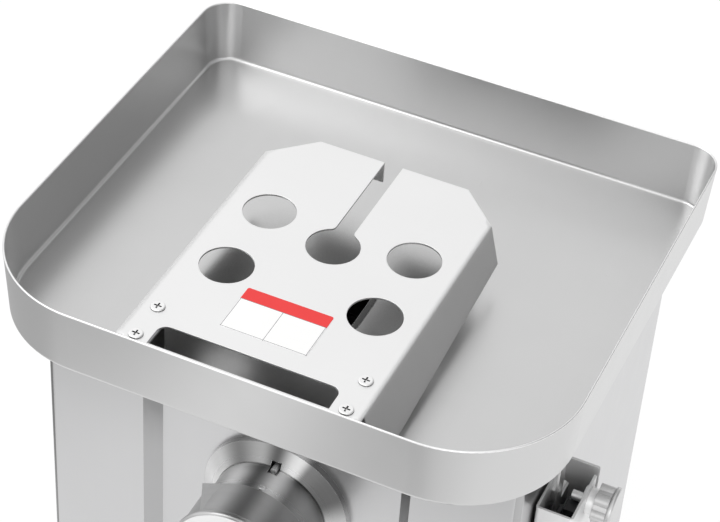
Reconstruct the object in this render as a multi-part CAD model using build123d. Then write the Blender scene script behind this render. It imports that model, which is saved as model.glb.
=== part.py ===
from build123d import *
import os
from math import atan2, cos, degrees, hypot, pi, radians, sin, sqrt, tan

# Electric meat grinder: a sheet-steel body with a feed tray and hand guard on top, a
# grinding head through its front and a motor with a two-stage gearbox inside.
# Millimetres, X to the right of someone facing the machine, Y to the back, Z up. The pieces
# are drawn about the middle of the body and written with the origin on the table under the
# middle of the whole outline.

# Fits
running_gap = 0.06
slip_gap = 0.3
panel_gap = 0.2
blade_gap = 0.3

# Feet and base
foot_height = 30.0
foot_radius = 21.0
foot_taper = 3.0
foot_inset = 40.0
foot_recess_depth = 18.0
foot_recess_radius = 9.0
foot_edge_round = 1.5
base_thickness = 3.0

# Sheet-steel body
body_width = 400.0
body_sheet = 1.5
body_corner_radius = 6.4
recess_width = 228.0
recess_depth = 11.6
rear_flange = 16.0
head_to_body_top = 144.0

# Feed tray
tray_sheet = 1.5
tray_wall_height = 58.0
tray_flare = 3.0
tray_front_overhang = 74.0
tray_side_overhang = 30.0
tray_back_inset = 1.3
tray_front_corner = 94.0
tray_back_corner = 26.0
tray_bend = 3.0

# Hand guard over the feed opening
guard_sheet = 1.5
guard_below_rim = 1.8
guard_width = 194.0
guard_back_reach = 113.0
guard_chamfer = 33.0
guard_hole_radius = 21.0
guard_slot_width = 15.5
guard_slot_round = 5.0
guard_hole_spacing = 121.6
guard_hole_back = 14.7
guard_hole_front = 57.1
guard_window_width = 144.0
guard_window_start = 4.5
guard_window_end = 27.0
guard_window_corner = 8.0
guard_lip_height = 19.0
guard_flap_angle = 14.0
guard_flap_rear_height = 36.0
guard_front_gap = 1.2
guard_screw_spacing = 166.6
guard_screw_front = 9.0
guard_screw_back = 42.0
guard_bracket_width = 24.0
guard_bracket_sheet = 2.0

# Grinding head
barrel_radius = 47.0
barrel_bore = 36.0
barrel_reach = 42.4
barrel_back_wall = 8.0
head_inside_length = 123.4
throat_width = 54.0
throat_length = 70.0
throat_corner = 21.6
throat_wall = 5.0
throat_back_gap = 1.3
flange_radius = 62.0
flange_edge = 5.6
flange_nose = 14.4
flange_nose_radius = 48.6
thread_radius = 44.4
thread_length = 24.0
plate_radius = 41.0
plate_thickness = 10.0
plate_proud = 1.0
plate_hole_radius = 3.6
plate_hole_pitch = 9.2
plate_pin_radius = 6.0
blade_thickness = 10.0
blade_reach = 38.0
blade_square = 12.0
blade_heel = 10.8
blade_sweep = 1.5
blade_arms = 4
auger_core = 15.0
auger_pitch = 42.0
auger_flight = 7.0
journal_radius = 14.0
tang_square = 17.0
tang_length = 22.0
washer_thickness = 3.0
washer_radius = 24.0
nut_length = 38.0
nut_radius = 50.0
nut_bead_radius = 51.8
nut_bead_length = 7.0
nut_bead_round = 2.9
nut_mouth_radius = 36.0
nut_lug_rise = 6.4
nut_lugs = 3
nut_lug_back = (-31.0, -53.0)
nut_lug_front = (-3.0, -36.0)
locating_pin_radius = 2.6
locating_pin_reach = 3.5
key_offset = 3.0
key_slot_width = 8.4
key_slot_rise = 5.2
key_slot_reach = 6.0
index_boss_radius = 2.8
index_boss_rise = 2.2
index_boss_back = 4.6

# Gears, from the motor to the auger
motor_pinion_teeth = 18
layshaft_gear_teeth = 50
layshaft_pinion_teeth = 18
drive_gear_teeth = 54
first_module = 2.0
second_module = 3.0
first_gear_width = 12.0
second_gear_width = 22.0
pinion_extra = 1.0
gear_side_gap = 2.0
tooth_backlash = 0.3
pressure_angle = 20.0
dedendum = 1.25

# Gearbox
case_front_wall = 16.0
case_cover_wall = 16.0
case_wall = 6.0
case_gap = 6.0
case_foot_width = 190.0
case_foot_thickness = 10.0
drive_shaft_radius = 15.0
layshaft_radius = 10.0
motor_shaft_radius = 9.0
motor_shaft_nose = 7.2
bearing_width = 12.0
bearing_wall = 12.0
shield_depth = 1.0
seal_width = 4.0
cover_bolt_radius = 3.0
foot_bolt_radius = 4.0

# Motor
motor_floor_gap = 3.0
motor_flange_rim = 10.0
motor_flange_thickness = 8.0
motor_radius = 76.0
motor_wall = 4.0
motor_length = 100.0
motor_bolt_radius = 2.5
stator_length = 60.0
stator_bore = 42.0
winding_reach = 14.0
winding_inset = 10.0
rotor_air_gap = 0.5
end_bell_thickness = 12.0
fan_gap = 3.0
fan_width = 12.0
fan_radius = 66.0
fan_blades = 8
fan_plate = 2.0
rear_clear = 8.0

# Lock for the feed tray on the right side
lock_start = 32.0
lock_length = 63.0
lock_reach = 32.0
lock_standoff = 2.0
lock_sheet = 2.0
lock_below_top = 74.0
lock_height = 72.0
lock_side_drop = 20.0
lock_axis_back = 40.0
lock_axis_below = 15.0
lock_screw_height = 9.0
lock_boss_radius = 10.6
lock_boss_neck = 8.0
lock_boss_inset = 4.0
lock_boss_proud = 6.0
lock_stud_radius = 4.0
lock_stud_grip = 8.0
lock_travel = 5.0
stud_clear = 1.0
anvil_width = 14.0
anvil_height = 15.0
knob_radius = 16.4
knob_length = 11.5
knob_lobes = 6
knob_lobe_radius = 5.2
knob_valley = 13.4
knob_rim_radius = 17.4
knob_rim_length = 4.5
knob_rim_round = 1.8
tongue_offset = 12.3
tongue_sheet = 2.0
tongue_start = 15.0
tongue_strip = 13.0
tongue_width = 30.0
tongue_tab_height = 18.0
tongue_in_switch = 10.0
interlock_start = 17.0
interlock_depth = 24.0
interlock_height = 35.0
interlock_base = 20.0
interlock_head_width = 8.0
interlock_head_depth = 12.0
interlock_head_rise = 2.0
interlock_block_depth = 14.0

# Start and stop switch on the left side
switch_plate_width = 64.0
switch_plate_height = 104.0
switch_plate_thickness = 3.0
switch_body_depth = 38.0
switch_body_width = 44.0
switch_body_height = 84.0
switch_back = 110.0
switch_below_top = 120.0
button_radius = 13.0
button_proud = 4.0
button_travel = 3.0
button_spacing = 40.0
button_round = 1.2

# Back panel, wiring inlet and capacitor
louvre_width = 90.0
louvre_pitch = 16.0
louvre_rows = 8
louvre_slot = 5.0
louvre_rise = 5.0
louvre_lip = 3.0
louvre_column = 67.5
gland_radius = 9.0
gland_hex_radius = 13.0
gland_hex_length = 5.4
gland_cap_radius = 9.9
gland_length = 11.7
gland_nut_length = 9.0
gland_bore = 4.5
gland_height = 40.0
gland_side = 120.0
capacitor_radius = 20.0
capacitor_length = 84.0
capacitor_round = 3.3
terminal_width = 6.0
terminal_height = 9.0
terminal_sheet = 1.0
capacitor_side_inset = 60.0
capacitor_back_inset = 82.75
clamp_sheet = 2.0
clamp_height = 16.8

# Small fasteners
pan_head_radius = 4.7
pan_head_height = 2.6
pan_head_round = 1.5
pan_cross_width = 0.9
pan_cross_depth = 1.2
low_head_radius = 5.6
low_head_height = 1.4
low_head_round = 1.0
low_cross_width = 1.3
low_cross_reach = 3.0
low_cross_depth = 0.9
hex_head_factor = 1.7
hex_head_height = 4.5
screw_radius = 2.5
screw_length = 8.0

# Heights, from the table up
base_bottom = foot_height
base_top = base_bottom + base_thickness
motor_flange_radius = motor_radius + motor_flange_rim
motor_axis = base_top + motor_floor_gap + motor_flange_radius
first_distance = first_module * (motor_pinion_teeth + layshaft_gear_teeth) / 2
second_distance = second_module * (layshaft_pinion_teeth + drive_gear_teeth) / 2
layshaft_axis = motor_axis + first_distance
head_axis = layshaft_axis + second_distance
body_top = head_axis + head_to_body_top
shell_top = body_top - body_sheet
rim_top = body_top + tray_wall_height
tray_floor = body_top + tray_sheet
guard_top = rim_top - guard_below_rim
guard_under = guard_top - guard_sheet

# Depths, from the recessed front panel to the back, then centred on the body
case_depth = (case_front_wall + second_gear_width + first_gear_width + 2 * pinion_extra
              + 3 * gear_side_gap)
gearbox_depth = case_depth + case_cover_wall
body_depth = (recess_depth + head_inside_length + gearbox_depth + motor_length
              + end_bell_thickness + fan_gap + fan_width + rear_clear + body_sheet)
body_front = -body_depth / 2
body_back = body_depth / 2
body_side = body_width / 2
panel_front = body_front + recess_depth
panel_back = panel_front + body_sheet

gearbox_front = panel_front + head_inside_length
case_inside = gearbox_front + case_front_wall
second_gear_front = case_inside + gear_side_gap
second_gear_back = second_gear_front + second_gear_width
first_gear_front = second_gear_back + 2 * pinion_extra + gear_side_gap
first_gear_back = first_gear_front + first_gear_width
case_back = gearbox_front + case_depth
motor_front = gearbox_front + gearbox_depth
motor_back = motor_front + motor_length
end_bell_back = motor_back + end_bell_thickness
fan_front = end_bell_back + fan_gap
fan_back = fan_front + fan_width

barrel_shoulder = panel_front - barrel_reach
barrel_mouth = barrel_shoulder - thread_length
flange_face = panel_front - flange_nose
flange_back = panel_front - flange_edge
barrel_back = gearbox_front
barrel_inside_back = barrel_back - barrel_back_wall
plate_front = barrel_mouth - plate_proud
plate_back = plate_front + plate_thickness
blade_front = plate_back + blade_gap
blade_back = blade_front + blade_thickness
washer_back = barrel_inside_back - slip_gap
washer_front = washer_back - washer_thickness
nut_back = barrel_shoulder - slip_gap
nut_front = barrel_shoulder - nut_length
throat_middle = barrel_inside_back - throat_back_gap - throat_length / 2

tray_front = body_front - tray_front_overhang
tray_back = body_back - tray_back_inset
tray_side = body_side + tray_side_overhang
guard_front = tray_front + tray_sheet + guard_front_gap
guard_back = throat_middle + guard_back_reach
guard_side = guard_width / 2
guard_flap_back = guard_back - guard_chamfer

drive_bearing_outer = drive_shaft_radius + bearing_wall
layshaft_bearing_outer = layshaft_radius + bearing_wall
motor_bearing_outer = motor_shaft_radius + bearing_wall


def along_x(sketch, x_from, x_to):
    """A solid with the outline (y, z) between two places on X."""
    return extrude(Plane((x_from, 0, 0), x_dir=(0, 1, 0), z_dir=(1, 0, 0)) * sketch, amount=x_to - x_from)


def along_y(sketch, y_from, y_to):
    """A solid with the outline (x, z) between two places on Y."""
    return extrude(Plane((0, y_to, 0), x_dir=(1, 0, 0), z_dir=(0, -1, 0)) * sketch, amount=y_to - y_from)


def along_z(sketch, z_from, z_to):
    """A solid with the outline (x, y) between two heights."""
    return extrude(Pos(0, 0, z_from) * sketch, amount=z_to - z_from)


def block(x_from, x_to, y_from, y_to, z_from, z_to):
    """A box between its two corners."""
    middle = Pos((x_from + x_to) / 2, (y_from + y_to) / 2, (z_from + z_to) / 2)
    return middle * Box(x_to - x_from, y_to - y_from, z_to - z_from)


def disc(radius, across=0.0, up=0.0):
    """A round outline at a place in its own plane."""
    return Pos(across, up) * Circle(radius)


def ring(outer, inner, across=0.0, up=0.0):
    """A round outline with a round hole."""
    return disc(outer, across, up) - disc(inner, across, up)


def polar(radius, angle):
    """The point at a radius and an angle in degrees from upright, turning to the right."""
    return (radius * sin(radians(angle)), radius * cos(radians(angle)))


def pan_screw(length=screw_length, radius=screw_radius):
    """A pan-head screw that points down, its head standing on height zero."""
    head = along_z(Circle(pan_head_radius), 0, pan_head_height)
    head = fillet(head.edges().group_by(Axis.Z)[-1], pan_head_round)
    cross = Rectangle(pan_head_radius, pan_cross_width) + Rectangle(pan_cross_width, pan_head_radius)
    head -= along_z(cross, pan_head_height - pan_cross_depth, pan_head_height)
    return head + along_z(Circle(radius), -length, 0)


def low_screw(length=screw_length, radius=screw_radius):
    """A wide low-head screw that points down, its head standing on height zero."""
    head = along_z(Circle(low_head_radius), 0, low_head_height)
    head = fillet(head.edges().group_by(Axis.Z)[-1], low_head_round)
    cross = Rectangle(2 * low_cross_reach, low_cross_width) + Rectangle(low_cross_width, 2 * low_cross_reach)
    head -= along_z(cross, low_head_height - low_cross_depth, low_head_height)
    return head + along_z(Circle(radius), -length, 0)


def hex_bolt(length, radius):
    """A hexagon-head bolt that points down, its head standing on height zero."""
    head = along_z(RegularPolygon(radius * hex_head_factor, 6), 0, hex_head_height)
    return head + along_z(Circle(radius), -length, 0)


def body_outline(inset):
    """The body seen from above, moved inwards by an inset."""
    recess = recess_width / 2
    points = [(-body_side, body_back), (-body_side, body_front), (-recess, body_front),
              (-recess + recess_depth, panel_front), (recess - recess_depth, panel_front),
              (recess, body_front), (body_side, body_front), (body_side, body_back)]
    face = make_face(Polyline(*points, close=True))
    face = fillet(face.vertices().group_by(Axis.Y)[0].sort_by(Axis.X)[::3], body_corner_radius)
    if inset:
        face = offset(face, amount=-inset, kind=Kind.INTERSECTION)
    return face


def lock_screw_places():
    """Depth and height of each screw that holds the lock bracket."""
    y_middle = body_front + lock_start + lock_length / 2
    z_low = body_top - lock_below_top - lock_height
    return [(y_middle + side * lock_length / 4, z_low + lock_screw_height) for side in (-1, 1)]


def switch_place():
    """Depth and height of the middle of the start and stop switch."""
    return (body_front + switch_back, body_top - switch_below_top)


def body_shell():
    """Front and sides, one bent sheet with flanges at the back."""
    shell = along_z(body_outline(0) - body_outline(body_sheet), base_bottom, shell_top)
    open_side = body_side - rear_flange
    shell -= block(-open_side, open_side, 0, body_back, base_bottom + rear_flange, shell_top - rear_flange)
    shell -= along_y(disc(barrel_radius + slip_gap, 0, head_axis), body_front, panel_back)
    y, z = switch_place()
    opening = Pos(y, z) * Rectangle(switch_body_width + slip_gap, switch_body_height + slip_gap)
    shell -= along_x(opening, -body_side, -body_side + body_sheet)
    for y, z in lock_screw_places():
        shell -= along_x(disc(screw_radius + panel_gap, y, z), body_side - body_sheet, body_side)
    for x, z in back_screw_places():
        shell -= along_y(disc(screw_radius + panel_gap, x, z), body_back - body_sheet, body_back)
    return shell


def base_plate():
    """Floor of the body, inside the bent sheet."""
    plate = along_z(body_outline(body_sheet + panel_gap), base_bottom, base_top)
    for x, y in foot_places():
        plate -= Pos(x, y) * along_z(Circle(screw_radius + panel_gap), base_bottom, base_top)
    for x, y in case_foot_bolt_places():
        plate -= Pos(x, y) * along_z(Circle(foot_bolt_radius + panel_gap), base_bottom, base_top)
    return plate


def throat_outline(grow):
    """The feed opening seen from above, grown by a margin."""
    width = throat_width + 2 * grow
    length = throat_length + 2 * grow
    return Pos(0, throat_middle) * RectangleRounded(width, length, throat_corner + grow)


def top_panel():
    """Lid of the body under the tray, open where the throat comes up."""
    hole = throat_outline(throat_wall + slip_gap)
    return along_z(body_outline(0) - hole, shell_top, body_top)


def back_screw_places():
    """Across and height of the screws that hold the back panel."""
    across = body_side - rear_flange / 2
    heights = [base_bottom + rear_flange / 2, (base_bottom + shell_top) / 2, shell_top - rear_flange / 2]
    return [(side * across, z) for side in (-1, 1) for z in heights]


def louvre(x, z):
    """One pressed hood over a vent slot, open at its lower edge."""
    points = [(0, 0), (0, louvre_slot * 2), (louvre_rise, louvre_lip), (louvre_rise, 0)]
    hood = Pos(body_back + body_sheet, z) * make_face(Polyline(*points, close=True))
    half = louvre_width / 2
    solid = along_x(hood, x - half, x + half)
    thin = Pos(0, -body_sheet / 2, -body_sheet) * along_x(hood, x - half + body_sheet, x + half - body_sheet)
    return solid - thin


def back_panel():
    """Rear cover with two columns of pressed louvres and a hole for the cable gland."""
    back = body_back + body_sheet
    height = shell_top - base_bottom
    outline = Pos(0, (shell_top + base_bottom) / 2) * RectangleRounded(body_width, height, body_corner_radius)
    panel = along_y(outline, body_back, back)
    middle = (base_bottom + shell_top) / 2
    for side in (-1, 1):
        x = side * louvre_column
        for row in range(louvre_rows):
            z = middle + (row - (louvre_rows - 1) / 2) * louvre_pitch
            slot = Pos(x, z + louvre_slot / 2) * Rectangle(louvre_width - 3 * body_sheet, louvre_slot)
            panel -= along_y(slot, body_back, back)
            panel += louvre(x, z)
    panel -= along_y(disc(gland_radius + panel_gap, -gland_side, base_top + gland_height), body_back, back)
    for x, z in back_screw_places():
        panel -= along_y(disc(screw_radius + panel_gap, x, z), body_back, back)
    return panel


def back_screws():
    """Pan-head screws through the back panel into the body's flanges."""
    turn = Rot(-90, 0, 0)
    return [Pos(x, body_back + body_sheet, z) * turn * pan_screw() for x, z in back_screw_places()]


def foot_places():
    """Where the four feet stand."""
    x = body_side - foot_inset
    y = body_depth / 2 - foot_inset
    return [(-x, -y), (x, -y), (-x, y), (x, y)]


def rubber_feet():
    """Four tapered rubber feet, each hollowed from below for its screw."""
    foot = Pos(0, 0, foot_height / 2) * Cone(foot_radius - foot_taper, foot_radius, foot_height)
    foot = fillet(foot.edges().group_by(Axis.Z)[0], foot_edge_round)
    foot -= along_z(Circle(foot_recess_radius), 0, foot_recess_depth)
    foot -= along_z(Circle(screw_radius + panel_gap), 0, foot_height)
    return [Pos(x, y) * foot for x, y in foot_places()]


def foot_screws():
    """Screws up through the feet into the base plate."""
    length = base_top - foot_recess_depth
    screw = Pos(0, 0, foot_recess_depth) * Rot(180, 0, 0) * pan_screw(length)
    return [Pos(x, y) * screw for x, y in foot_places()]


def tray_outline(inset):
    """The tray seen from above with its two large and two small corners."""
    width = 2 * (tray_side - inset)
    depth = tray_back - tray_front - 2 * inset
    face = Pos(0, (tray_front + tray_back) / 2) * Rectangle(width, depth)
    face = fillet(face.vertices().group_by(Axis.Y)[0], tray_front_corner - inset)
    return fillet(face.vertices().group_by(Axis.Y)[-1], tray_back_corner - inset)


def tray_block(inset, bottom, bend):
    """A filled tray whose walls lean out, with a rounded edge along its floor."""
    lean = degrees(atan2(tray_flare, tray_wall_height))
    foot_inset_here = inset + tray_flare * (rim_top - bottom) / tray_wall_height
    solid = extrude(Pos(0, 0, bottom) * tray_outline(foot_inset_here), amount=rim_top - bottom, taper=-lean)
    return fillet(solid.edges().group_by(Axis.Z)[0], bend)


def feed_tray():
    """Deep feed tray with the feed opening in its floor."""
    tray = tray_block(0, body_top, tray_bend + tray_sheet)
    tray -= tray_block(tray_sheet, tray_floor, tray_bend)
    hole = throat_outline(throat_wall + slip_gap)
    return tray - along_z(hole, body_top, tray_floor)


def guard_screw_places():
    """Where the four guard screws stand."""
    x = guard_screw_spacing / 2
    return [(side * x, tray_front + y) for side in (-1, 1) for y in (guard_screw_front, guard_screw_back)]


def guard_outline():
    """The guard's top seen from above, with its holes, slot and front window."""
    side = guard_side
    points = [(-side, guard_front), (side, guard_front), (side, guard_flap_back),
              (side - guard_chamfer, guard_back), (guard_chamfer - side, guard_back),
              (-side, guard_flap_back)]
    face = make_face(Polyline(*points, close=True))
    face -= disc(guard_hole_radius, 0, throat_middle)
    slot_end = guard_back + guard_slot_width
    slot_length = slot_end - throat_middle
    face -= Pos(0, throat_middle + slot_length / 2) * Rectangle(guard_slot_width, slot_length)
    meeting = throat_middle + sqrt(guard_hole_radius ** 2 - (guard_slot_width / 2) ** 2)
    corners = face.vertices().filter_by_position(Axis.Y, meeting - running_gap, meeting + running_gap)
    face = fillet(corners, guard_slot_round)
    for across in (-1, 1):
        for along in (guard_hole_back, -guard_hole_front):
            face -= disc(guard_hole_radius, across * guard_hole_spacing / 2, throat_middle + along)
    depth = guard_window_end - guard_window_start
    window = Pos(0, tray_front + guard_window_start + depth / 2) * Rectangle(guard_window_width, depth)
    face -= fillet(window.vertices().group_by(Axis.Y)[-1], guard_window_corner)
    return face


def guard_flap(side):
    """One side of the guard, leaning outwards and taller towards the front."""
    lean = tan(radians(guard_flap_angle))
    front = guard_front + tray_bend + tray_flare
    full = guard_under - tray_floor - slip_gap
    points = [(front, 0), (guard_flap_back, 0), (guard_flap_back, -guard_flap_rear_height), (front, -full)]
    outline = Pos(0, guard_top) * make_face(Polyline(*points, close=True))
    plate = along_x(outline, 0, guard_sheet)
    lean_angle = degrees(atan2(lean, 1))
    hinge = Pos(guard_side - guard_sheet, 0, guard_top)
    leaned = hinge * Rot(0, -lean_angle, 0) * Pos(0, 0, -guard_top) * plate
    leaned &= block(0, tray_side, tray_front, tray_back, tray_floor + slip_gap, guard_top)
    return leaned if side > 0 else mirror(leaned, Plane.YZ)


def hand_guard():
    """Folded sheet over the throat: holed top, two leaning sides and a short lip behind."""
    guard = along_z(guard_outline(), guard_under, guard_top)
    guard += guard_flap(1)
    guard += guard_flap(-1)
    inner = guard_slot_width / 2
    outer = guard_side - guard_chamfer
    for side in (-1, 1):
        low, high = sorted((side * inner, side * outer))
        guard += block(low, high, guard_back - guard_sheet, guard_back, guard_top - guard_lip_height,
                       guard_top)
    for x, y in guard_screw_places():
        guard -= Pos(x, y) * along_z(Circle(screw_radius + panel_gap), guard_under, guard_top)
    return guard


def guard_brackets():
    """Two folded feet that carry the guard on the tray's floor."""
    half = guard_bracket_width / 2
    front = guard_front + tray_bend + tray_flare
    back = tray_front + guard_screw_back + half
    top = guard_under
    brackets = []
    for side in (-1, 1):
        x = side * guard_screw_spacing / 2
        low, high = sorted((x - side * half, side * (guard_side - guard_sheet - slip_gap)))
        flat = block(low, high, guard_front, back, top - guard_bracket_sheet, top)
        leg_back = front + guard_screw_back / 2
        leg = block(low, high, leg_back, leg_back + guard_bracket_sheet, tray_floor, top)
        bracket = flat + leg
        for y in (guard_screw_front, guard_screw_back):
            bracket -= Pos(x, tray_front + y) * along_z(Circle(screw_radius + panel_gap), tray_floor, top)
        brackets.append(bracket)
    return brackets


def guard_screws():
    """Cross-recessed pan-head screws that hold the guard to its brackets."""
    return [Pos(x, y, guard_top) * low_screw() for x, y in guard_screw_places()]


def key_slot(front):
    """The keyway on top of the barrel, from a place in front of the flange to its edge."""
    half = key_slot_width / 2
    surface = head_axis + barrel_radius
    return block(key_offset - half, key_offset + half, front, flange_back,
                 surface - locating_pin_radius - running_gap, surface + key_slot_rise)


def grinder_head():
    """Cast barrel with its feed throat, bored for the auger and closed behind."""
    head = along_y(disc(barrel_radius, 0, head_axis), barrel_shoulder, barrel_back)
    head += along_y(disc(thread_radius, 0, head_axis), barrel_mouth, barrel_shoulder)
    head += along_z(throat_outline(throat_wall), head_axis, tray_floor)
    head -= along_y(disc(barrel_bore, 0, head_axis), barrel_mouth, barrel_inside_back)
    head -= along_y(disc(plate_radius + panel_gap, 0, head_axis), barrel_mouth, blade_back + blade_gap)
    head -= along_z(throat_outline(0), head_axis, tray_floor)
    head -= along_y(disc(journal_radius + running_gap, 0, head_axis), barrel_inside_back, barrel_back)
    head -= key_slot(flange_face - key_slot_reach)
    boss = along_z(Circle(index_boss_radius), head_axis + barrel_bore + index_boss_radius,
                   head_axis + barrel_radius + index_boss_rise)
    boss = fillet(boss.edges().group_by(Axis.Z)[-1], index_boss_rise / 2)
    return head + Pos(key_offset, barrel_shoulder + index_boss_back) * boss


def front_flange():
    """Turned ring on the front panel round the barrel, with a coned face."""
    inner = barrel_radius + panel_gap
    points = [(inner, panel_front), (flange_radius, panel_front), (flange_radius, flange_back),
              (flange_nose_radius, flange_face), (inner, flange_face)]
    level = Plane((0, 0, head_axis), x_dir=(1, 0, 0), z_dir=(0, 0, 1))
    turned = revolve(level * make_face(Polyline(*points, close=True)), Axis((0, 0, head_axis), (0, 1, 0)))
    return turned - key_slot(flange_face)


def locating_pin():
    """Pin in the keyway that keeps the barrel from turning in the front flange."""
    outline = disc(locating_pin_radius, key_offset, head_axis + barrel_radius)
    return along_y(outline, flange_face - locating_pin_reach, flange_back - slip_gap)


def auger():
    """Feed screw with its journal and square tang behind and its pin in front."""
    flight_radius = barrel_bore - 2 * slip_gap
    start = blade_back + blade_gap
    length = washer_front - start
    path = Helix(auger_pitch, length, (auger_core + flight_radius) / 2)
    depth = flight_radius - auger_core + 4 * slip_gap
    section = Plane(path @ 0, x_dir=(1, 0, 0), z_dir=path % 0) * Rectangle(depth, auger_flight)
    screw = sweep(section, path=path, is_frenet=True)
    screw += along_z(Circle(auger_core), 0, length)
    screw &= along_z(Circle(flight_radius), 0, length)
    screw = Pos(0, start, head_axis) * Rot(-90, 0, 0) * screw
    screw += along_y(disc(journal_radius, 0, head_axis), washer_front, barrel_back)
    tang = Pos(0, head_axis) * Rectangle(tang_square, tang_square)
    screw += along_y(tang, barrel_back, barrel_back + tang_length)
    square = Pos(0, head_axis) * Rectangle(blade_square, blade_square)
    screw += along_y(square, blade_front, start)
    return screw + along_y(disc(plate_pin_radius - running_gap, 0, head_axis), plate_front, blade_front)


def cross_blade():
    """Four-armed knife on the auger's square, running against the plate."""
    hub = disc(blade_square)
    half = blade_heel / 2
    points = [(-half, 0), (half, 0), (half / 2, blade_reach), (-half, blade_reach - blade_sweep)]
    arm = make_face(Polyline(*points, close=True))
    outline = hub
    for turn in range(blade_arms):
        outline += Rot(0, 0, turn * 360 / blade_arms) * arm
    hole = blade_square + panel_gap
    outline -= Rectangle(hole, hole)
    return along_y(Pos(0, head_axis) * outline, blade_front, blade_back)


def mincing_plate():
    """Round cutting plate full of holes, keyed in the barrel's mouth."""
    outline = Circle(plate_radius)
    reach = plate_radius - 2 * plate_hole_radius
    rows = int(reach / plate_hole_pitch) + 1
    holes = []
    for row in range(-rows, rows + 1):
        for column in range(-2 * rows, 2 * rows + 1):
            x = (column + row / 2) * plate_hole_pitch
            y = row * plate_hole_pitch * sqrt(3) / 2
            if plate_pin_radius + 2 * plate_hole_radius < hypot(x, y) < reach:
                holes.append(disc(plate_hole_radius, x, y))
    outline -= holes
    outline -= Circle(plate_pin_radius)
    return along_y(Pos(0, head_axis) * outline, plate_front, plate_back)


def thrust_washer():
    """Plastic washer between the auger's shoulder and the barrel's back wall."""
    return along_y(ring(washer_radius, journal_radius + panel_gap, 0, head_axis), washer_front, washer_back)


def lug_section(y, outer, near, far):
    """A lug's outline across the nut at one depth, from its low to its high side."""
    root = nut_radius - nut_lug_rise
    points = [polar(root, far), polar(outer, far), polar(nut_radius, near), polar(root, near)]
    outline = Pos(0, head_axis) * make_face(Polyline(*points, close=True))
    return Plane((0, y, 0), x_dir=(1, 0, 0), z_dir=(0, -1, 0)) * outline


def ring_nut():
    """Lugged ring nut that screws onto the barrel and holds the plate."""
    nut = along_y(disc(nut_radius, 0, head_axis), nut_front, nut_back)
    bead = along_y(disc(nut_bead_radius, 0, head_axis), nut_front, nut_front + nut_bead_length)
    nut += fillet(bead.edges(), nut_bead_round)
    front = nut_front + nut_bead_length / 2
    lug = loft([lug_section(nut_back, nut_radius + nut_lug_rise, *nut_lug_back),
                lug_section(front, nut_radius, *nut_lug_front)], ruled=True)
    axis = Axis((0, 0, head_axis), (0, 1, 0))
    for turn in range(nut_lugs):
        nut += lug.rotate(axis, turn * 360 / nut_lugs)
    seat = plate_front - blade_gap
    nut -= along_y(disc(thread_radius + running_gap, 0, head_axis), seat, nut_back)
    mouth = Plane((0, nut_front, head_axis), x_dir=(1, 0, 0), z_dir=(0, 1, 0))
    nut -= extrude(mouth * Circle(nut_mouth_radius), amount=seat - nut_front)
    return nut


def gear(teeth, module, width_from, width_to, up, turn):
    """A spur gear along Y with a tooth, or a gap for half a pitch of turn, at its lowest point."""
    angle = radians(pressure_angle)
    pitch_radius = module * teeth / 2
    base = pitch_radius * cos(angle)
    tip = pitch_radius + module
    root = pitch_radius - dedendum * module
    start = max(base, root)
    half_tooth = (pi * module / 2 - tooth_backlash) / 2 / pitch_radius + tan(angle) - angle

    def flank(radius):
        lean = sqrt(max((radius / base) ** 2 - 1, 0))
        return half_tooth - (lean - atan2(lean, 1))

    def at(radius, around):
        return (radius * sin(around), -radius * cos(around))

    edges = []
    for tooth in range(teeth):
        middle = 2 * pi * (tooth + turn) / teeth
        after = 2 * pi * (tooth + 1 + turn) / teeth
        places = [(root, flank(start)), (start, flank(start)), ((start + tip) / 2, flank((start + tip) / 2)),
                  (tip, flank(tip))]
        up_side = [at(r, middle - a) for r, a in places]
        down_side = [at(r, middle + a) for r, a in places]
        if start > root:
            edges += [Line(up_side[0], up_side[1]), Line(down_side[1], down_side[0])]
        edges += [ThreePointArc(*up_side[1:]), Line(up_side[3], down_side[3])]
        edges += [ThreePointArc(*down_side[:0:-1]), Line(down_side[0], at(root, after - flank(start)))]
    return along_y(Pos(0, up) * make_face(edges), width_from, width_to)


def keyed_gear(teeth, module, width_from, width_to, up, shaft):
    """A spur gear bored to sit on its shaft, a tooth at its lowest point."""
    wheel = gear(teeth, module, width_from, width_to, up, 0)
    return wheel - along_y(disc(shaft, 0, up), width_from, width_to)


def drive_gear():
    """Large gear on the drive shaft."""
    return keyed_gear(drive_gear_teeth, second_module, second_gear_front, second_gear_back, head_axis,
                      drive_shaft_radius)


def layshaft_gear():
    """Middle gear, driven by the motor's pinion."""
    return keyed_gear(layshaft_gear_teeth, first_module, first_gear_front, first_gear_back, layshaft_axis,
                      layshaft_radius)


def opposite_tooth(teeth):
    """Turn that puts a gap at a pinion's highest point."""
    return 0.5 if teeth % 2 == 0 else 0.0


def drive_shaft():
    """Output shaft with the square socket that the auger's tang fits."""
    shaft = along_y(disc(drive_shaft_radius, 0, head_axis), gearbox_front, motor_front - slip_gap)
    hole = tang_square + panel_gap
    socket = Pos(0, head_axis) * Rectangle(hole, hole)
    return shaft - along_y(socket, gearbox_front, gearbox_front + tang_length + slip_gap)


def layshaft():
    """Middle shaft with its pinion cut in one piece."""
    front = case_inside - bearing_width
    shaft = along_y(disc(layshaft_radius, 0, layshaft_axis), front, case_back + bearing_width)
    turn = opposite_tooth(layshaft_pinion_teeth)
    return shaft + gear(layshaft_pinion_teeth, second_module, second_gear_front - pinion_extra,
                        second_gear_back + pinion_extra, layshaft_axis, turn)


def motor_shaft():
    """Motor shaft with its pinion cut in one piece."""
    front = case_inside
    shaft = along_y(disc(motor_shaft_radius, 0, motor_axis), first_gear_front - pinion_extra, fan_back)
    shaft += along_y(disc(motor_shaft_nose, 0, motor_axis), front, first_gear_front)
    turn = opposite_tooth(motor_pinion_teeth)
    return shaft + gear(motor_pinion_teeth, first_module, first_gear_front - pinion_extra,
                        first_gear_back + pinion_extra, motor_axis, turn)


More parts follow.
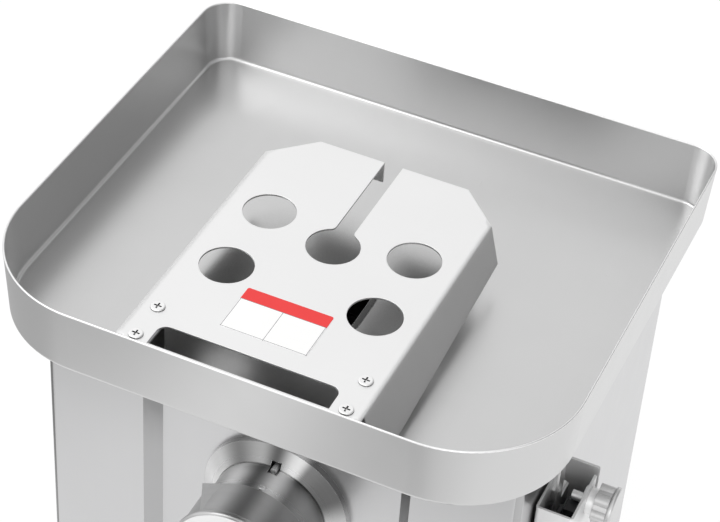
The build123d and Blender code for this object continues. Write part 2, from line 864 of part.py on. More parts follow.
def case_outline(grow):
    """The gearbox seen from the front, round its three shafts."""
    drive = second_module * (drive_gear_teeth / 2 + 1) + case_gap + grow
    middle = first_module * (layshaft_gear_teeth / 2 + 1) + case_gap + grow
    motor = motor_bearing_outer + case_gap + 2 * case_wall + grow
    circles = disc(drive, 0, head_axis) + disc(middle, 0, layshaft_axis) + disc(motor, 0, motor_axis)
    return make_hull(circles.edges())


def cover_bolt_places():
    """Across and height of the bolts round the gearbox cover."""
    drive = second_module * (drive_gear_teeth / 2 + 1) + case_gap + case_wall
    places = [polar(drive, angle) for angle in (-90, -45, 0, 45, 90)]
    return [(x, head_axis + z) for x, z in places]


def case_foot_bolt_places():
    """Where the gearbox foot is bolted to the base plate."""
    x = case_foot_width / 2 - 3 * foot_bolt_radius
    ends = (gearbox_front + 4 * foot_bolt_radius, case_back - 4 * foot_bolt_radius)
    return [(side * x, y) for side in (-1, 1) for y in ends]


def gearbox_case():
    """Cast case with its front wall, bearing seats and a foot on the base plate."""
    case = along_y(case_outline(2 * case_wall), gearbox_front, case_back)
    half = case_foot_width / 2
    case += block(-half, half, gearbox_front, case_back, base_top, base_top + case_foot_thickness)
    web = motor_bearing_outer
    case += block(-web, web, gearbox_front, case_back, base_top, motor_axis)
    case -= along_y(case_outline(0), case_inside, case_back)
    seat = case_inside - bearing_width
    case -= along_y(disc(drive_bearing_outer, 0, head_axis), seat, case_inside)
    case -= along_y(disc(drive_shaft_radius + seal_width, 0, head_axis), gearbox_front, seat)
    case -= along_y(disc(layshaft_bearing_outer, 0, layshaft_axis), seat, case_inside)
    for x, z in cover_bolt_places():
        case -= along_y(disc(cover_bolt_radius, x, z), case_inside, case_back)
    for x, y in case_foot_bolt_places():
        hole = Circle(foot_bolt_radius + panel_gap)
        case -= Pos(x, y) * along_z(hole, base_top, base_top + case_foot_thickness)
    return case


def gearbox_cover():
    """Rear cover of the gearbox, which also carries the motor."""
    outline = case_outline(2 * case_wall) + disc(motor_flange_radius, 0, motor_axis)
    cover = along_y(outline, case_back, motor_front)
    seat = case_back + bearing_width
    bores = [(drive_bearing_outer, head_axis), (layshaft_bearing_outer, layshaft_axis),
             (motor_bearing_outer, motor_axis)]
    for radius, up in bores:
        cover -= along_y(disc(radius, 0, up), case_back, seat)
    cover -= along_y(disc(drive_shaft_radius + slip_gap, 0, head_axis), seat, motor_front)
    cover -= along_y(disc(motor_shaft_radius + slip_gap, 0, motor_axis), seat, motor_front)
    for x, z in cover_bolt_places():
        cover -= along_y(disc(cover_bolt_radius + panel_gap, x, z), case_back, motor_front)
    for x, z in motor_bolt_places():
        cover -= along_y(disc(motor_bolt_radius, x, z), case_back + case_wall, motor_front)
    return cover


def bolt_along_y(length, radius, x, y, z):
    """A hexagon bolt whose head faces the back and whose shank points to the front."""
    return Pos(x, y, z) * Rot(-90, 0, 0) * hex_bolt(length, radius)


def cover_bolts():
    """Bolts that close the gearbox."""
    length = case_cover_wall + case_depth / 2
    return [bolt_along_y(length, cover_bolt_radius, x, motor_front, z) for x, z in cover_bolt_places()]


def foot_bolts():
    """Bolts that hold the gearbox down."""
    length = case_foot_thickness + base_thickness
    height = base_top + case_foot_thickness
    return [Pos(x, y, height) * hex_bolt(length, foot_bolt_radius) for x, y in case_foot_bolt_places()]


def bearing(outer, inner, y_from, y_to, up):
    """A sealed ball bearing drawn as its two rings and the shield between them."""
    races = along_y(ring(outer, inner + running_gap, 0, up), y_from, y_to)
    step = (outer - inner) / 3
    groove = ring(outer - step, inner + step, 0, up)
    races -= along_y(groove, y_from, y_from + shield_depth)
    return races - along_y(groove, y_to - shield_depth, y_to)


def drive_bearings():
    """Bearings at both ends of the drive shaft."""
    front = bearing(drive_bearing_outer, drive_shaft_radius, case_inside - bearing_width, case_inside,
                    head_axis)
    back = bearing(drive_bearing_outer, drive_shaft_radius, case_back, case_back + bearing_width, head_axis)
    return [front, back]


def layshaft_bearings():
    """Bearings at both ends of the layshaft."""
    front = bearing(layshaft_bearing_outer, layshaft_radius, case_inside - bearing_width, case_inside,
                    layshaft_axis)
    back = bearing(layshaft_bearing_outer, layshaft_radius, case_back, case_back + bearing_width,
                   layshaft_axis)
    return [front, back]


def motor_bearings():
    """Bearings in the gearbox cover and in the motor's end bell."""
    front = bearing(motor_bearing_outer, motor_shaft_radius, case_back, case_back + bearing_width, motor_axis)
    back = bearing(motor_bearing_outer, motor_shaft_radius, motor_back, end_bell_back, motor_axis)
    return [front, back]


def shaft_seal():
    """Lip seal between the gearbox and the grinding head."""
    seat = case_inside - bearing_width
    outline = ring(drive_shaft_radius + seal_width, drive_shaft_radius + running_gap, 0, head_axis)
    return along_y(outline, gearbox_front, seat)


def motor_bolt_places():
    """Across and height of the bolts through the motor's flange."""
    radius = (motor_flange_radius + motor_radius) / 2
    places = [polar(radius, angle) for angle in (-135, -45, 45, 135)]
    return [(x, motor_axis + z) for x, z in places]


def motor_housing():
    """Tube of the motor with its mounting flange and cooling ribs."""
    housing = along_y(disc(motor_flange_radius, 0, motor_axis), motor_front,
                      motor_front + motor_flange_thickness)
    housing += along_y(disc(motor_radius, 0, motor_axis), motor_front, motor_back)
    housing -= along_y(disc(motor_radius - motor_wall, 0, motor_axis), motor_front, motor_back)
    for x, z in motor_bolt_places():
        hole = disc(motor_bolt_radius + panel_gap, x, z)
        housing -= along_y(hole, motor_front, motor_front + motor_flange_thickness)
    return housing


def motor_bolts():
    """Bolts that hold the motor to the gearbox cover."""
    head = motor_front + motor_flange_thickness
    length = motor_flange_thickness + case_cover_wall / 2
    return [bolt_along_y(length, motor_bolt_radius, x, head, z) for x, z in motor_bolt_places()]


def stator_middle():
    """Depth of the middle of the stator."""
    return (motor_front + motor_back) / 2


def stator():
    """Laminated stator core."""
    half = stator_length / 2
    outline = ring(motor_radius - motor_wall, stator_bore, 0, motor_axis)
    return along_y(outline, stator_middle() - half, stator_middle() + half)


def stator_winding():
    """The two bundles of copper wire at the ends of the core."""
    half = stator_length / 2
    middle = stator_middle()
    outline = ring(motor_radius - winding_inset, stator_bore + motor_wall, 0, motor_axis)
    front = along_y(outline, middle - half - winding_reach, middle - half)
    back = along_y(outline, middle + half, middle + half + winding_reach)
    return [front, back]


def rotor():
    """Cage rotor on the motor shaft."""
    half = stator_length / 2 + motor_wall
    outline = ring(stator_bore - rotor_air_gap, motor_shaft_radius, 0, motor_axis)
    return along_y(outline, stator_middle() - half, stator_middle() + half)


def end_bell():
    """Rear end of the motor with its bearing seat."""
    outline = ring(motor_radius, motor_bearing_outer, 0, motor_axis)
    bell = along_y(outline, motor_back, end_bell_back)
    spigot = ring(motor_radius - motor_wall - panel_gap, motor_radius - 2 * motor_wall, 0, motor_axis)
    return bell + along_y(spigot, motor_back - motor_wall, motor_back)


def cooling_fan():
    """Fan on the motor shaft's rear end."""
    hub = 2 * motor_shaft_radius
    fan = along_y(disc(hub, 0, motor_axis), fan_front, fan_back)
    fan += along_y(disc(fan_radius, 0, motor_axis), fan_front, fan_front + fan_plate)
    blade = block(-fan_plate / 2, fan_plate / 2, fan_front, fan_back, motor_axis + hub - fan_plate,
                  motor_axis + fan_radius)
    axis = Axis((0, 0, motor_axis), (0, 1, 0))
    for turn in range(fan_blades):
        fan += blade.rotate(axis, turn * 360 / fan_blades)
    return fan - along_y(disc(motor_shaft_radius, 0, motor_axis), fan_front, fan_back)


def capacitor_place():
    """Across and depth of the motor capacitor."""
    return (capacitor_side_inset - body_side, body_back - capacitor_back_inset)


def run_capacitor():
    """Motor capacitor standing on the base plate."""
    can = along_z(Circle(capacitor_radius), base_top, base_top + capacitor_length)
    can = fillet(can.edges().group_by(Axis.Z)[-1], capacitor_round)
    top = base_top + capacitor_length
    for side in (-1, 1):
        tab = side * capacitor_radius / 2
        can += block(tab - terminal_sheet / 2, tab + terminal_sheet / 2, -terminal_width / 2,
                     terminal_width / 2, top - terminal_sheet, top + terminal_height)
    return Pos(*capacitor_place()) * can


def capacitor_clamp():
    """Band round the capacitor with a foot on the base plate."""
    inner = capacitor_radius + running_gap
    clamp = along_z(Circle(inner + clamp_sheet) - Circle(inner), base_top, base_top + clamp_height)
    ear = inner + 4 * clamp_sheet
    half = clamp_height / 2
    clamp += block(-ear - 3 * clamp_sheet, -inner - clamp_sheet / 2, -half, half, base_top,
                   base_top + clamp_sheet)
    return Pos(*capacitor_place()) * clamp


def cable_gland():
    """Hexagon gland in the back panel where the mains lead would enter."""
    up = base_top + gland_height
    back = body_back + body_sheet
    hexagon = Pos(-gland_side, up) * RegularPolygon(gland_hex_radius, 6)
    gland = along_y(hexagon, back, back + gland_hex_length)
    gland += along_y(disc(gland_cap_radius, -gland_side, up), back, back + gland_length)
    gland += along_y(disc(gland_radius, -gland_side, up), body_back, back)
    gland += along_y(hexagon, body_back - gland_nut_length, body_back)
    bore = disc(gland_bore, -gland_side, up)
    return gland - along_y(bore, body_back - gland_nut_length, back + gland_length)


def button_heights():
    """Heights of the start and the stop button."""
    z = switch_place()[1]
    return (z + button_spacing / 2, z - button_spacing / 2)


def switch_plate():
    """Face plate of the switch on the left side."""
    y, z = switch_place()
    outline = Pos(y, z) * RectangleRounded(switch_plate_width, switch_plate_height, body_corner_radius)
    for up in button_heights():
        outline -= disc(button_radius + slip_gap, y, up)
    return along_x(outline, -body_side - switch_plate_thickness, -body_side)


def switch_body():
    """Contact block behind the face plate, with a well for each button."""
    y, z = switch_place()
    outline = Pos(y, z) * Rectangle(switch_body_width, switch_body_height)
    body = along_x(outline, -body_side, -body_side + switch_body_depth)
    well = 2 * button_travel + slip_gap + button_proud
    for up in button_heights():
        body -= along_x(disc(button_radius + slip_gap, y, up), -body_side, -body_side + well)
    return body


def push_button(up):
    """One round button with a rounded rim, resting above the bottom of its well."""
    y = switch_place()[0]
    outside = -body_side - switch_plate_thickness - button_proud
    button = along_x(disc(button_radius, y, up), outside, -body_side + button_travel + button_proud)
    return fillet(button.edges().group_by(Axis.X)[0], button_round)


def start_button():
    """Upper button."""
    return push_button(button_heights()[0])


def stop_button():
    """Lower button."""
    return push_button(button_heights()[1])


def lock_box():
    """Front, back, inner, outer, top and bottom of the lock bracket."""
    front = body_front + lock_start
    top = body_top - lock_below_top
    inner = body_side + lock_standoff
    return (front, front + lock_length, inner, body_side + lock_reach, top, top - lock_height)


def lock_axis():
    """Depth and height of the lock's knob."""
    front, _, _, _, top, _ = lock_box()
    return (front + lock_axis_back, top - lock_axis_below)


def knob_start():
    """Place across of the knob's inner end."""
    return body_side + lock_reach + lock_boss_proud + slip_gap


def tongue_sides():
    """Inner and outer face of the tray's tongue."""
    x = body_side + tongue_offset
    return (x - tongue_sheet / 2, x + tongue_sheet / 2)


def interlock_top():
    """Height of the interlock switch under the lock's screw."""
    return lock_axis()[1] - lock_stud_radius - stud_clear


def tongue_low():
    """Height of the tongue's lower end inside the interlock."""
    return interlock_top() + interlock_head_rise - tongue_in_switch


def lock_bracket():
    """Open-topped sheet box on the right side, with an ear for the boss and an anvil behind the tongue."""
    front, back, inner, outer, top, low = lock_box()
    sheet = lock_sheet
    box = block(inner, outer, front, back, low, top)
    box = fillet(box.edges().filter_by(Axis.Z), lock_sheet * 1.5)
    box -= block(inner + sheet, outer - sheet, front + sheet, back - sheet, low + sheet, top)
    y, z = lock_axis()
    drop = top - lock_side_drop
    ear = lock_boss_radius + sheet
    slope = Polygon((front + sheet, top), (y - ear, top), (y - ear, drop), align=None)
    box -= along_x(slope, outer - sheet, outer)
    box -= block(outer - sheet, outer, y + ear, back - sheet, drop, top)
    box += along_x(disc(ear, y, z), outer - sheet, outer)
    box -= along_x(disc(lock_boss_neck, y, z), outer - sheet, outer)
    half = anvil_width / 2
    anvil_top = z + lock_stud_radius
    box += block(inner + sheet, tongue_sides()[0] - slip_gap, y - half, y + half, anvil_top - anvil_height,
                 anvil_top)
    for y, z in lock_screw_places():
        box += along_x(disc(2 * screw_radius, y, z), body_side, inner)
        box -= along_x(disc(screw_radius + panel_gap, y, z), body_side, inner + sheet)
    return box


def lock_screws():
    """Screws that hold the lock bracket to the side."""
    head = body_side + lock_standoff + lock_sheet
    length = lock_standoff + lock_sheet + 2 * body_sheet
    return [Pos(head, y, z) * Rot(0, 90, 0) * pan_screw(length) for y, z in lock_screw_places()]


def lock_boss():
    """Threaded boss riveted through the bracket's outer wall."""
    y, z = lock_axis()
    outer = body_side + lock_reach
    boss = along_x(disc(lock_boss_radius, y, z), outer, outer + lock_boss_proud)
    boss += along_x(disc(lock_boss_neck, y, z), outer - lock_sheet, outer)
    boss += along_x(disc(lock_boss_radius, y, z), outer - lock_boss_inset, outer - lock_sheet)
    return boss - along_x(disc(lock_stud_radius + running_gap, y, z), outer - lock_boss_inset,
                          outer + lock_boss_proud)


def lock_stud():
    """Screw that the knob drives through the boss against the tray's tongue."""
    y, z = lock_axis()
    end = tongue_sides()[1] + slip_gap + lock_travel
    return along_x(disc(lock_stud_radius, y, z), end, knob_start() + lock_stud_grip)


def star_knob():
    """Lobed grip with a wider rim on its outer end and a blind bore for the screw."""
    y, z = lock_axis()
    start = knob_start()
    outline = disc(knob_valley)
    for turn in range(knob_lobes):
        x, up = polar(knob_radius - knob_lobe_radius, (turn + 0.5) * 360 / knob_lobes)
        outline += disc(knob_lobe_radius, x, up)
    grip = along_x(Pos(y, z) * outline, start, start + knob_length)
    rim = along_x(disc(knob_rim_radius, y, z), start + knob_length, start + knob_length + knob_rim_length)
    grip += fillet(rim.edges(), knob_rim_round)
    bore = disc(lock_stud_radius + running_gap, y, z)
    return grip - along_x(bore, start, start + lock_stud_grip + slip_gap)


def tray_tongue():
    """Strip under the tray with a wide tab at its end for the lock and the interlock."""
    inner, outer = tongue_sides()
    front = lock_box()[0] + tongue_start
    strip_back = front + tongue_strip
    low = tongue_low()
    tongue = block(inner, outer, front, strip_back, low, body_top)
    tongue += block(inner, outer, front, front + tongue_width, low, low + tongue_tab_height)
    foot = outer + 3 * tongue_sheet
    return tongue + block(outer, foot, front, strip_back, body_top - tongue_sheet, body_top)


def interlock_switch():
    """Safety switch with a slotted head that the tongue goes into."""
    front, _, inner, outer, _, _ = lock_box()
    begin = front + interlock_start
    finish = begin + interlock_depth
    top = interlock_top()
    low = top - interlock_height
    right = outer - lock_boss_inset - slip_gap
    middle = body_side + tongue_offset
    head_side = middle + interlock_head_width / 2
    switch = block(inner + lock_sheet, right, begin, finish, low, low + interlock_base)
    switch += block(head_side, right, finish - interlock_block_depth, finish, low, top)
    switch += block(middle - interlock_head_width / 2, head_side, begin, begin + interlock_head_depth, low,
                    top + interlock_head_rise)
    tongue_inner, tongue_outer = tongue_sides()
    slot = block(tongue_inner - slip_gap, tongue_outer + slip_gap, begin, begin + interlock_head_depth,
                 tongue_low() - slip_gap, top + interlock_head_rise)
    return switch - slot


PIECES = [
    body_shell, base_plate, top_panel, back_panel, back_screws, rubber_feet, foot_screws,
    feed_tray, hand_guard, guard_brackets, guard_screws, tray_tongue,
    front_flange, grinder_head, locating_pin, auger, cross_blade, mincing_plate, thrust_washer, ring_nut,
    gearbox_case, gearbox_cover, cover_bolts, foot_bolts, drive_shaft, drive_gear, layshaft, layshaft_gear,
    drive_bearings, layshaft_bearings, motor_bearings, shaft_seal,
    motor_housing, motor_bolts, stator, stator_winding, rotor, motor_shaft, end_bell, cooling_fan,
    run_capacitor, capacitor_clamp, cable_gland,
    switch_plate, switch_body, start_button, stop_button,
    lock_bracket, lock_screws, lock_boss, lock_stud, star_knob, interlock_switch,
]


def outline_middle():
    """Across and depth of the middle of the machine's outline, from the tray to the knob and the gland."""
    right = knob_start() + knob_length + knob_rim_length
    back = body_back + body_sheet + gland_length
    return ((right - tray_side) / 2, (tray_front + back) / 2)


def main():
    """Build every piece and write each to its own file."""
    os.makedirs("parts", exist_ok=True)
    across, depth = outline_middle()
    for piece in PIECES:
        made = piece()
        solids = made if isinstance(made, list) else [made]
        whole = Compound([solid for shape in solids for solid in shape.solids()])
        export_step(Pos(-across, -depth) * whole, f"parts/{piece.__name__}.step")


main()
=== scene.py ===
"""Finishes, small trim, studio and camera of an electric meat grinder."""

import logging
import math
from dataclasses import dataclass
from enum import Enum
from typing import Optional, Union

import bmesh
import bpy
from mathutils import Matrix, Vector


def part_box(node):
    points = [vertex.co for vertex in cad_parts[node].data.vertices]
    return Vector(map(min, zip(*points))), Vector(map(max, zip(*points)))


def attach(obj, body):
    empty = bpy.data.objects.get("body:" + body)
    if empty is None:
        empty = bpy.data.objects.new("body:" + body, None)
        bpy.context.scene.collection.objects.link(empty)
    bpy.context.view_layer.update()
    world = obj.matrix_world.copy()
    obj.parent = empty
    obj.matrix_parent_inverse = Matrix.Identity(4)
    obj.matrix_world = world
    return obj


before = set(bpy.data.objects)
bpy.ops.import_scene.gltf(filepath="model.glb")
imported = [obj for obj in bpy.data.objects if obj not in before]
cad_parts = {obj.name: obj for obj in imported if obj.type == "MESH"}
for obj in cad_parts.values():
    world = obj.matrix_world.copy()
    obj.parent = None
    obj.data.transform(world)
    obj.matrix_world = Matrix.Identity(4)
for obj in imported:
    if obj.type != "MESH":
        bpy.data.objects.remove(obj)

LOG = logging.getLogger("grinder")
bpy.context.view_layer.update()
MM = 0.001

PLAIN_DETAIL = 2.0
FINE_DETAIL = 3.0
RICH_DETAIL = 4.0

Colour = tuple[float, float, float]
Place = tuple[float, float, float]
Operand = Union["Value", float]


def grey(level: float) -> Colour:
    """A neutral colour."""
    return (level, level, level)


def scaled(colour: Colour, factor: float, lift: float = 0.0) -> Colour:
    """A colour made darker or lighter, up to white."""
    return tuple(min(1.0, factor * part + lift) for part in colour)


class Grain(Enum):
    """The way the brushing runs, as stretch factors along X, Y and Z."""

    ACROSS = (5.0, 1400.0, 1400.0)
    DEEP = (1400.0, 5.0, 1400.0)
    UPRIGHT = (1400.0, 1400.0, 5.0)


class Value:
    """A node socket that takes part in Python arithmetic."""

    def __init__(self, graph: "Graph", socket: bpy.types.NodeSocket) -> None:
        """Hold a socket and the graph it belongs to.

        Args:
            graph: The graph that new nodes are added to.
            socket: The output socket that carries the value.
        """
        self.graph = graph
        self.socket = socket

    def _math(self, operation: str, first: Operand, second: Operand = 0.0) -> "Value":
        """Add one Math node.

        Args:
            operation: The Math node's operation.
            first: The upper operand.
            second: The lower operand.

        Returns:
            The node's result.
        """
        return self.graph.node("ShaderNodeMath", {"operation": operation}, {0: first, 1: second})

    def __add__(self, other: Operand) -> "Value":
        """Sum."""
        return self._math("ADD", self, other)

    def __radd__(self, other: Operand) -> "Value":
        """Sum with a number on the left."""
        return self._math("ADD", other, self)

    def __sub__(self, other: Operand) -> "Value":
        """Difference."""
        return self._math("SUBTRACT", self, other)

    def __rsub__(self, other: Operand) -> "Value":
        """Difference with a number on the left."""
        return self._math("SUBTRACT", other, self)

    def __mul__(self, other: Operand) -> "Value":
        """Product."""
        return self._math("MULTIPLY", self, other)

    def __rmul__(self, other: Operand) -> "Value":
        """Product with a number on the left."""
        return self._math("MULTIPLY", other, self)

    def __gt__(self, other: Operand) -> "Value":
        """One where this is greater, and zero elsewhere."""
        return self._math("GREATER_THAN", self, other)

    def __lt__(self, other: Operand) -> "Value":
        """One where this is less, and zero elsewhere."""
        return self._math("LESS_THAN", self, other)

    def __or__(self, other: Operand) -> "Value":
        """The greater of two masks."""
        return self._math("MAXIMUM", self, other)

    def __abs__(self) -> "Value":
        """Size without its sign."""
        return self._math("ABSOLUTE", self)


class Graph:
    """Adds nodes to one tree."""

    def __init__(self, tree: bpy.types.NodeTree) -> None:
        """Hold the tree that nodes are added to."""
        self.tree = tree

    def node(self, kind: str, settings: Optional[dict] = None, inputs: Optional[dict] = None,
             output: Union[int, str] = 0) -> Optional[Value]:
        """Add a node of any kind.

        Args:
            kind: The node's type name.
            settings: Properties set on the node before its sockets.
            inputs: Numbers, colours or values for its sockets, by name or index.
            output: Name or index of the output that is wanted.

        Returns:
            The chosen output, or nothing for a node that ends a tree.
        """
        made = self.tree.nodes.new(kind)
        for key, setting in (settings or {}).items():
            if key == "stops":
                self.set_stops(made.color_ramp, setting)
            else:
                setattr(made, key, setting)
        for key, given in (inputs or {}).items():
            if isinstance(given, Value):
                self.tree.links.new(given.socket, made.inputs[key])
            else:
                made.inputs[key].default_value = given
        return Value(self, made.outputs[output]) if made.outputs else None

    def smooth(self, value: Value, start: float, end: float) -> Value:
        """Zero at a start, one at an end and a smooth step between them."""
        return self.node("ShaderNodeMapRange", {"interpolation_type": "SMOOTHSTEP"},
                         {"Value": value, "From Min": start, "From Max": end})

    @staticmethod
    def set_stops(ramp: bpy.types.ColorRamp, stops: list[tuple[float, float]]) -> None:
        """Give a ramp its grey stops.

        Args:
            ramp: The ramp.
            stops: Place from 0 to 1 and grey level of each stop, in order.
        """
        ramp.interpolation = "EASE"
        while len(ramp.elements) < len(stops):
            ramp.elements.new(1.0)
        for element, (place, level) in zip(ramp.elements, stops):
            element.position = place
            element.color = (*grey(level), 1.0)


class Surface(Graph):
    """The node tree of one material, with the nodes that finishes share."""

    EDGE_SAMPLES: int = 4
    EDGE_TURN: tuple[float, float] = (0.02, 0.3)
    SHELTER_SAMPLES: int = 8

    def __init__(self, name: str) -> None:
        """Start an empty material."""
        self.material = bpy.data.materials.new(name)
        self.material.use_nodes = True
        super().__init__(self.material.node_tree)
        self.tree.nodes.clear()

    def place(self) -> Value:
        """Place on the piece in metres."""
        return self.node("ShaderNodeTexCoord", output="Object")

    def stretched(self, place: Value, scale: tuple[float, float, float]) -> Value:
        """A place scaled along each axis."""
        return self.node("ShaderNodeMapping", None, {"Vector": place, "Scale": scale})

    def noise(self, place: Value, scale: float, detail: float = PLAIN_DETAIL) -> Value:
        """Soft random field from 0 to 1 over a place."""
        return self.node("ShaderNodeTexNoise", None, {"Vector": place, "Scale": scale, "Detail": detail})

    def ripple(self, along: Value, detail: float = PLAIN_DETAIL) -> Value:
        """Soft random field from 0 to 1 along one measure."""
        return self.node("ShaderNodeTexNoise", {"noise_dimensions": "1D"},
                         {"W": along, "Scale": 1.0, "Detail": detail})

    def vector(self, operation: str, first: Union[Value, Place], second: Union[Value, Place],
               output: str = "Vector") -> Value:
        """Vector Math on two places, directions or colours."""
        return self.node("ShaderNodeVectorMath", {"operation": operation}, {0: first, 1: second}, output)

    def parts(self, place: Value) -> tuple[Value, Value, Value]:
        """The three measures of a place."""
        return tuple(self.node("ShaderNodeSeparateXYZ", None, {0: place}, axis) for axis in "XYZ")

    def blend(self, factor: Operand, first: Union[Value, Colour], second: Union[Value, Colour]) -> Value:
        """A colour between two colours."""
        pair = [part if isinstance(part, Value) else (*part, 1.0) for part in (first, second)]
        return self.node("ShaderNodeMix", {"data_type": "RGBA"}, {0: factor, 6: pair[0], 7: pair[1]}, 2)

    def soft_edge(self, radius: float) -> Value:
        """The normal with edges rounded over a radius."""
        return self.node("ShaderNodeBevel", {"samples": self.EDGE_SAMPLES}, {"Radius": radius})

    def edge_mask(self, rounded: Value) -> Value:
        """One along edges and zero on open faces."""
        true_normal = self.node("ShaderNodeNewGeometry", output="Normal")
        turn = 1.0 - self.vector("DOT_PRODUCT", rounded, true_normal, "Value")
        return self.smooth(turn, *self.EDGE_TURN)

    def crevice(self, reach: float, open_from: float, closed_at: float = 0.0) -> Value:
        """How closed in a place is, as the mask for painted crevice shade.

        Args:
            reach: How far away a neighbour still shelters the place.
            open_from: Openness from which the place counts as free.
            closed_at: Openness at which the place counts as fully closed in.

        Returns:
            One deep in a crevice and zero on a free face.
        """
        openness = self.node("ShaderNodeAmbientOcclusion", {"samples": self.SHELTER_SAMPLES},
                             {"Distance": reach}, "AO")
        return self.smooth(openness, open_from, closed_at)

    def bump(self, height: Value, strength: float, distance: float, normal: Optional[Value] = None) -> Value:
        """A normal roughened by a height field.

        Args:
            height: The field.
            strength: Share of the effect.
            distance: Height in metres that the field spans.
            normal: The normal to start from.

        Returns:
            The roughened normal.
        """
        inputs = {"Height": height, "Strength": strength, "Distance": distance}
        if normal is not None:
            inputs["Normal"] = normal
        return self.node("ShaderNodeBump", None, inputs)

    def finish(self, inputs: dict) -> bpy.types.Material:
        """Close the material with a Principled shader.

        Args:
            inputs: Numbers or values for the shader's sockets, by name.

        Returns:
            The finished material.
        """
        shader = self.node("ShaderNodeBsdfPrincipled", None, inputs)
        self.node("ShaderNodeOutputMaterial", None, {"Surface": shader})
        return self.material


@dataclass(frozen=True)
class Finish:
    """A surface finish, made into a material once and then shared."""

    name: str

    def material(self) -> bpy.types.Material:
        """The finish's material."""
        return bpy.data.materials.get(self.name) or self.make(Surface(self.name))

    def make(self, surface: Surface) -> bpy.types.Material:
        """Build the nodes of the finish."""
        raise NotImplementedError


@dataclass(frozen=True)
class SheetSteel(Finish):
    """Satin stainless sheet with fine brushing and softly rounded edges."""

    tint: Colour = (0.62, 0.62, 0.63)
    roughness: float = 0.36
    grain: Grain = Grain.ACROSS
    edge: float = 0.7 * MM
    edge_highlight_gain: float = 1.25
    shelter: float = 110.0 * MM
    shade: float = 0.45
    open_from: float = 0.55
    cloud_scale: float = 6.0
    cloud_shade: float = 0.94
    smudge_scale: float = 42.0
    smudge_wear: float = 0.06
    line_wear: float = 0.10
    line_strength: float = 0.06
    line_height: float = 0.15 * MM
    polish: float = 0.08

    def base(self, surface: Surface) -> Value:
        """The sheet's colour with broad clouding."""
        cloud = surface.noise(surface.place(), self.cloud_scale)
        return surface.blend(cloud, scaled(self.tint, self.cloud_shade), self.tint)

    def rounding(self, surface: Surface) -> Value:
        """The normal with the sheet's edges rounded."""
        return surface.soft_edge(self.edge)

    def make(self, surface: Surface) -> bpy.types.Material:
        """Brush lines, faint smudges, a painted highlight along edges and painted shade in crevices."""
        place = surface.place()
        lines = surface.noise(surface.stretched(place, self.grain.value), 1.0, FINE_DETAIL)
        smudge = surface.noise(place, self.smudge_scale, RICH_DETAIL)
        # painted highlight: colour lifted along the rounded edges
        edge_highlight = surface.edge_mask(surface.soft_edge(self.edge))
        colour = surface.blend(edge_highlight, self.base(surface), scaled(self.tint, self.edge_highlight_gain))
        # painted shade: colour darkened in crevices and under overhanging parts
        closed = surface.crevice(self.shelter, self.open_from)
        colour = surface.blend(closed, colour, scaled(self.tint, self.shade))
        roughness = self.roughness - self.polish + self.line_wear * lines + self.smudge_wear * smudge
        normal = surface.bump(lines, self.line_strength, self.line_height, self.rounding(surface))
        return surface.finish({"Base Color": colour, "Metallic": 1.0, "Roughness": roughness,
                               "Normal": normal})


@dataclass(frozen=True)
class PanelSteel(SheetSteel):
    """Satin sheet with upright slanting bends that carry painted shade, darker than its flat faces."""

    slant: float = 0.25
    right_facing: float = 0.3
    left_facing: float = 0.65
    bend_shade: float = 0.1

    def base(self, surface: Surface) -> Value:
        """The sheet's colour with painted shade where the front slants to one side."""
        across, deep, _ = surface.parts(surface.node("ShaderNodeNewGeometry", output="Normal"))
        right, left = across > self.slant, across < -self.slant
        # painted shade on front faces that slant to the right or to the left
        slant_shade = (deep < -self.slant) * (self.right_facing * right + self.left_facing * left)
        return surface.blend(slant_shade, super().base(surface), scaled(self.tint, self.bend_shade))


@dataclass(frozen=True)
class FoldedSteel(SheetSteel):
    """Satin sheet with wide soft bends along two lines at equal distances from a middle."""

    middle: float = 0.0
    fold: float = 97.0 * MM
    bend: float = 5.0 * MM
    bend_lead: float = 2.0 * MM
    side_start: float = 1.0 * MM
    side_full: float = 1.5 * MM
    side_shade: float = 0.8

    def outward(self, surface: Surface) -> Value:
        """Distance across from the middle."""
        return abs(surface.parts(surface.place())[0] - self.middle)

    def base(self, surface: Surface) -> Value:
        """The sheet's colour with painted shade on the sides that are bent down."""
        start, full = self.fold - self.side_start, self.fold + self.side_full
        # painted shade on the bent-down sides beyond the folds
        flap_shade = surface.smooth(self.outward(surface), start, full)
        return surface.blend(flap_shade, super().base(surface), scaled(self.tint, self.side_shade))

    def rounding(self, surface: Surface) -> Value:
        """The normal with small rounding, and wide rounding near the two folds."""
        start = self.fold - self.bend
        near = surface.smooth(self.outward(surface), start - self.bend_lead, start)
        return surface.node("ShaderNodeMix", {"data_type": "VECTOR"},
                            {0: near, 4: surface.soft_edge(self.edge), 5: surface.soft_edge(self.bend)}, 1)


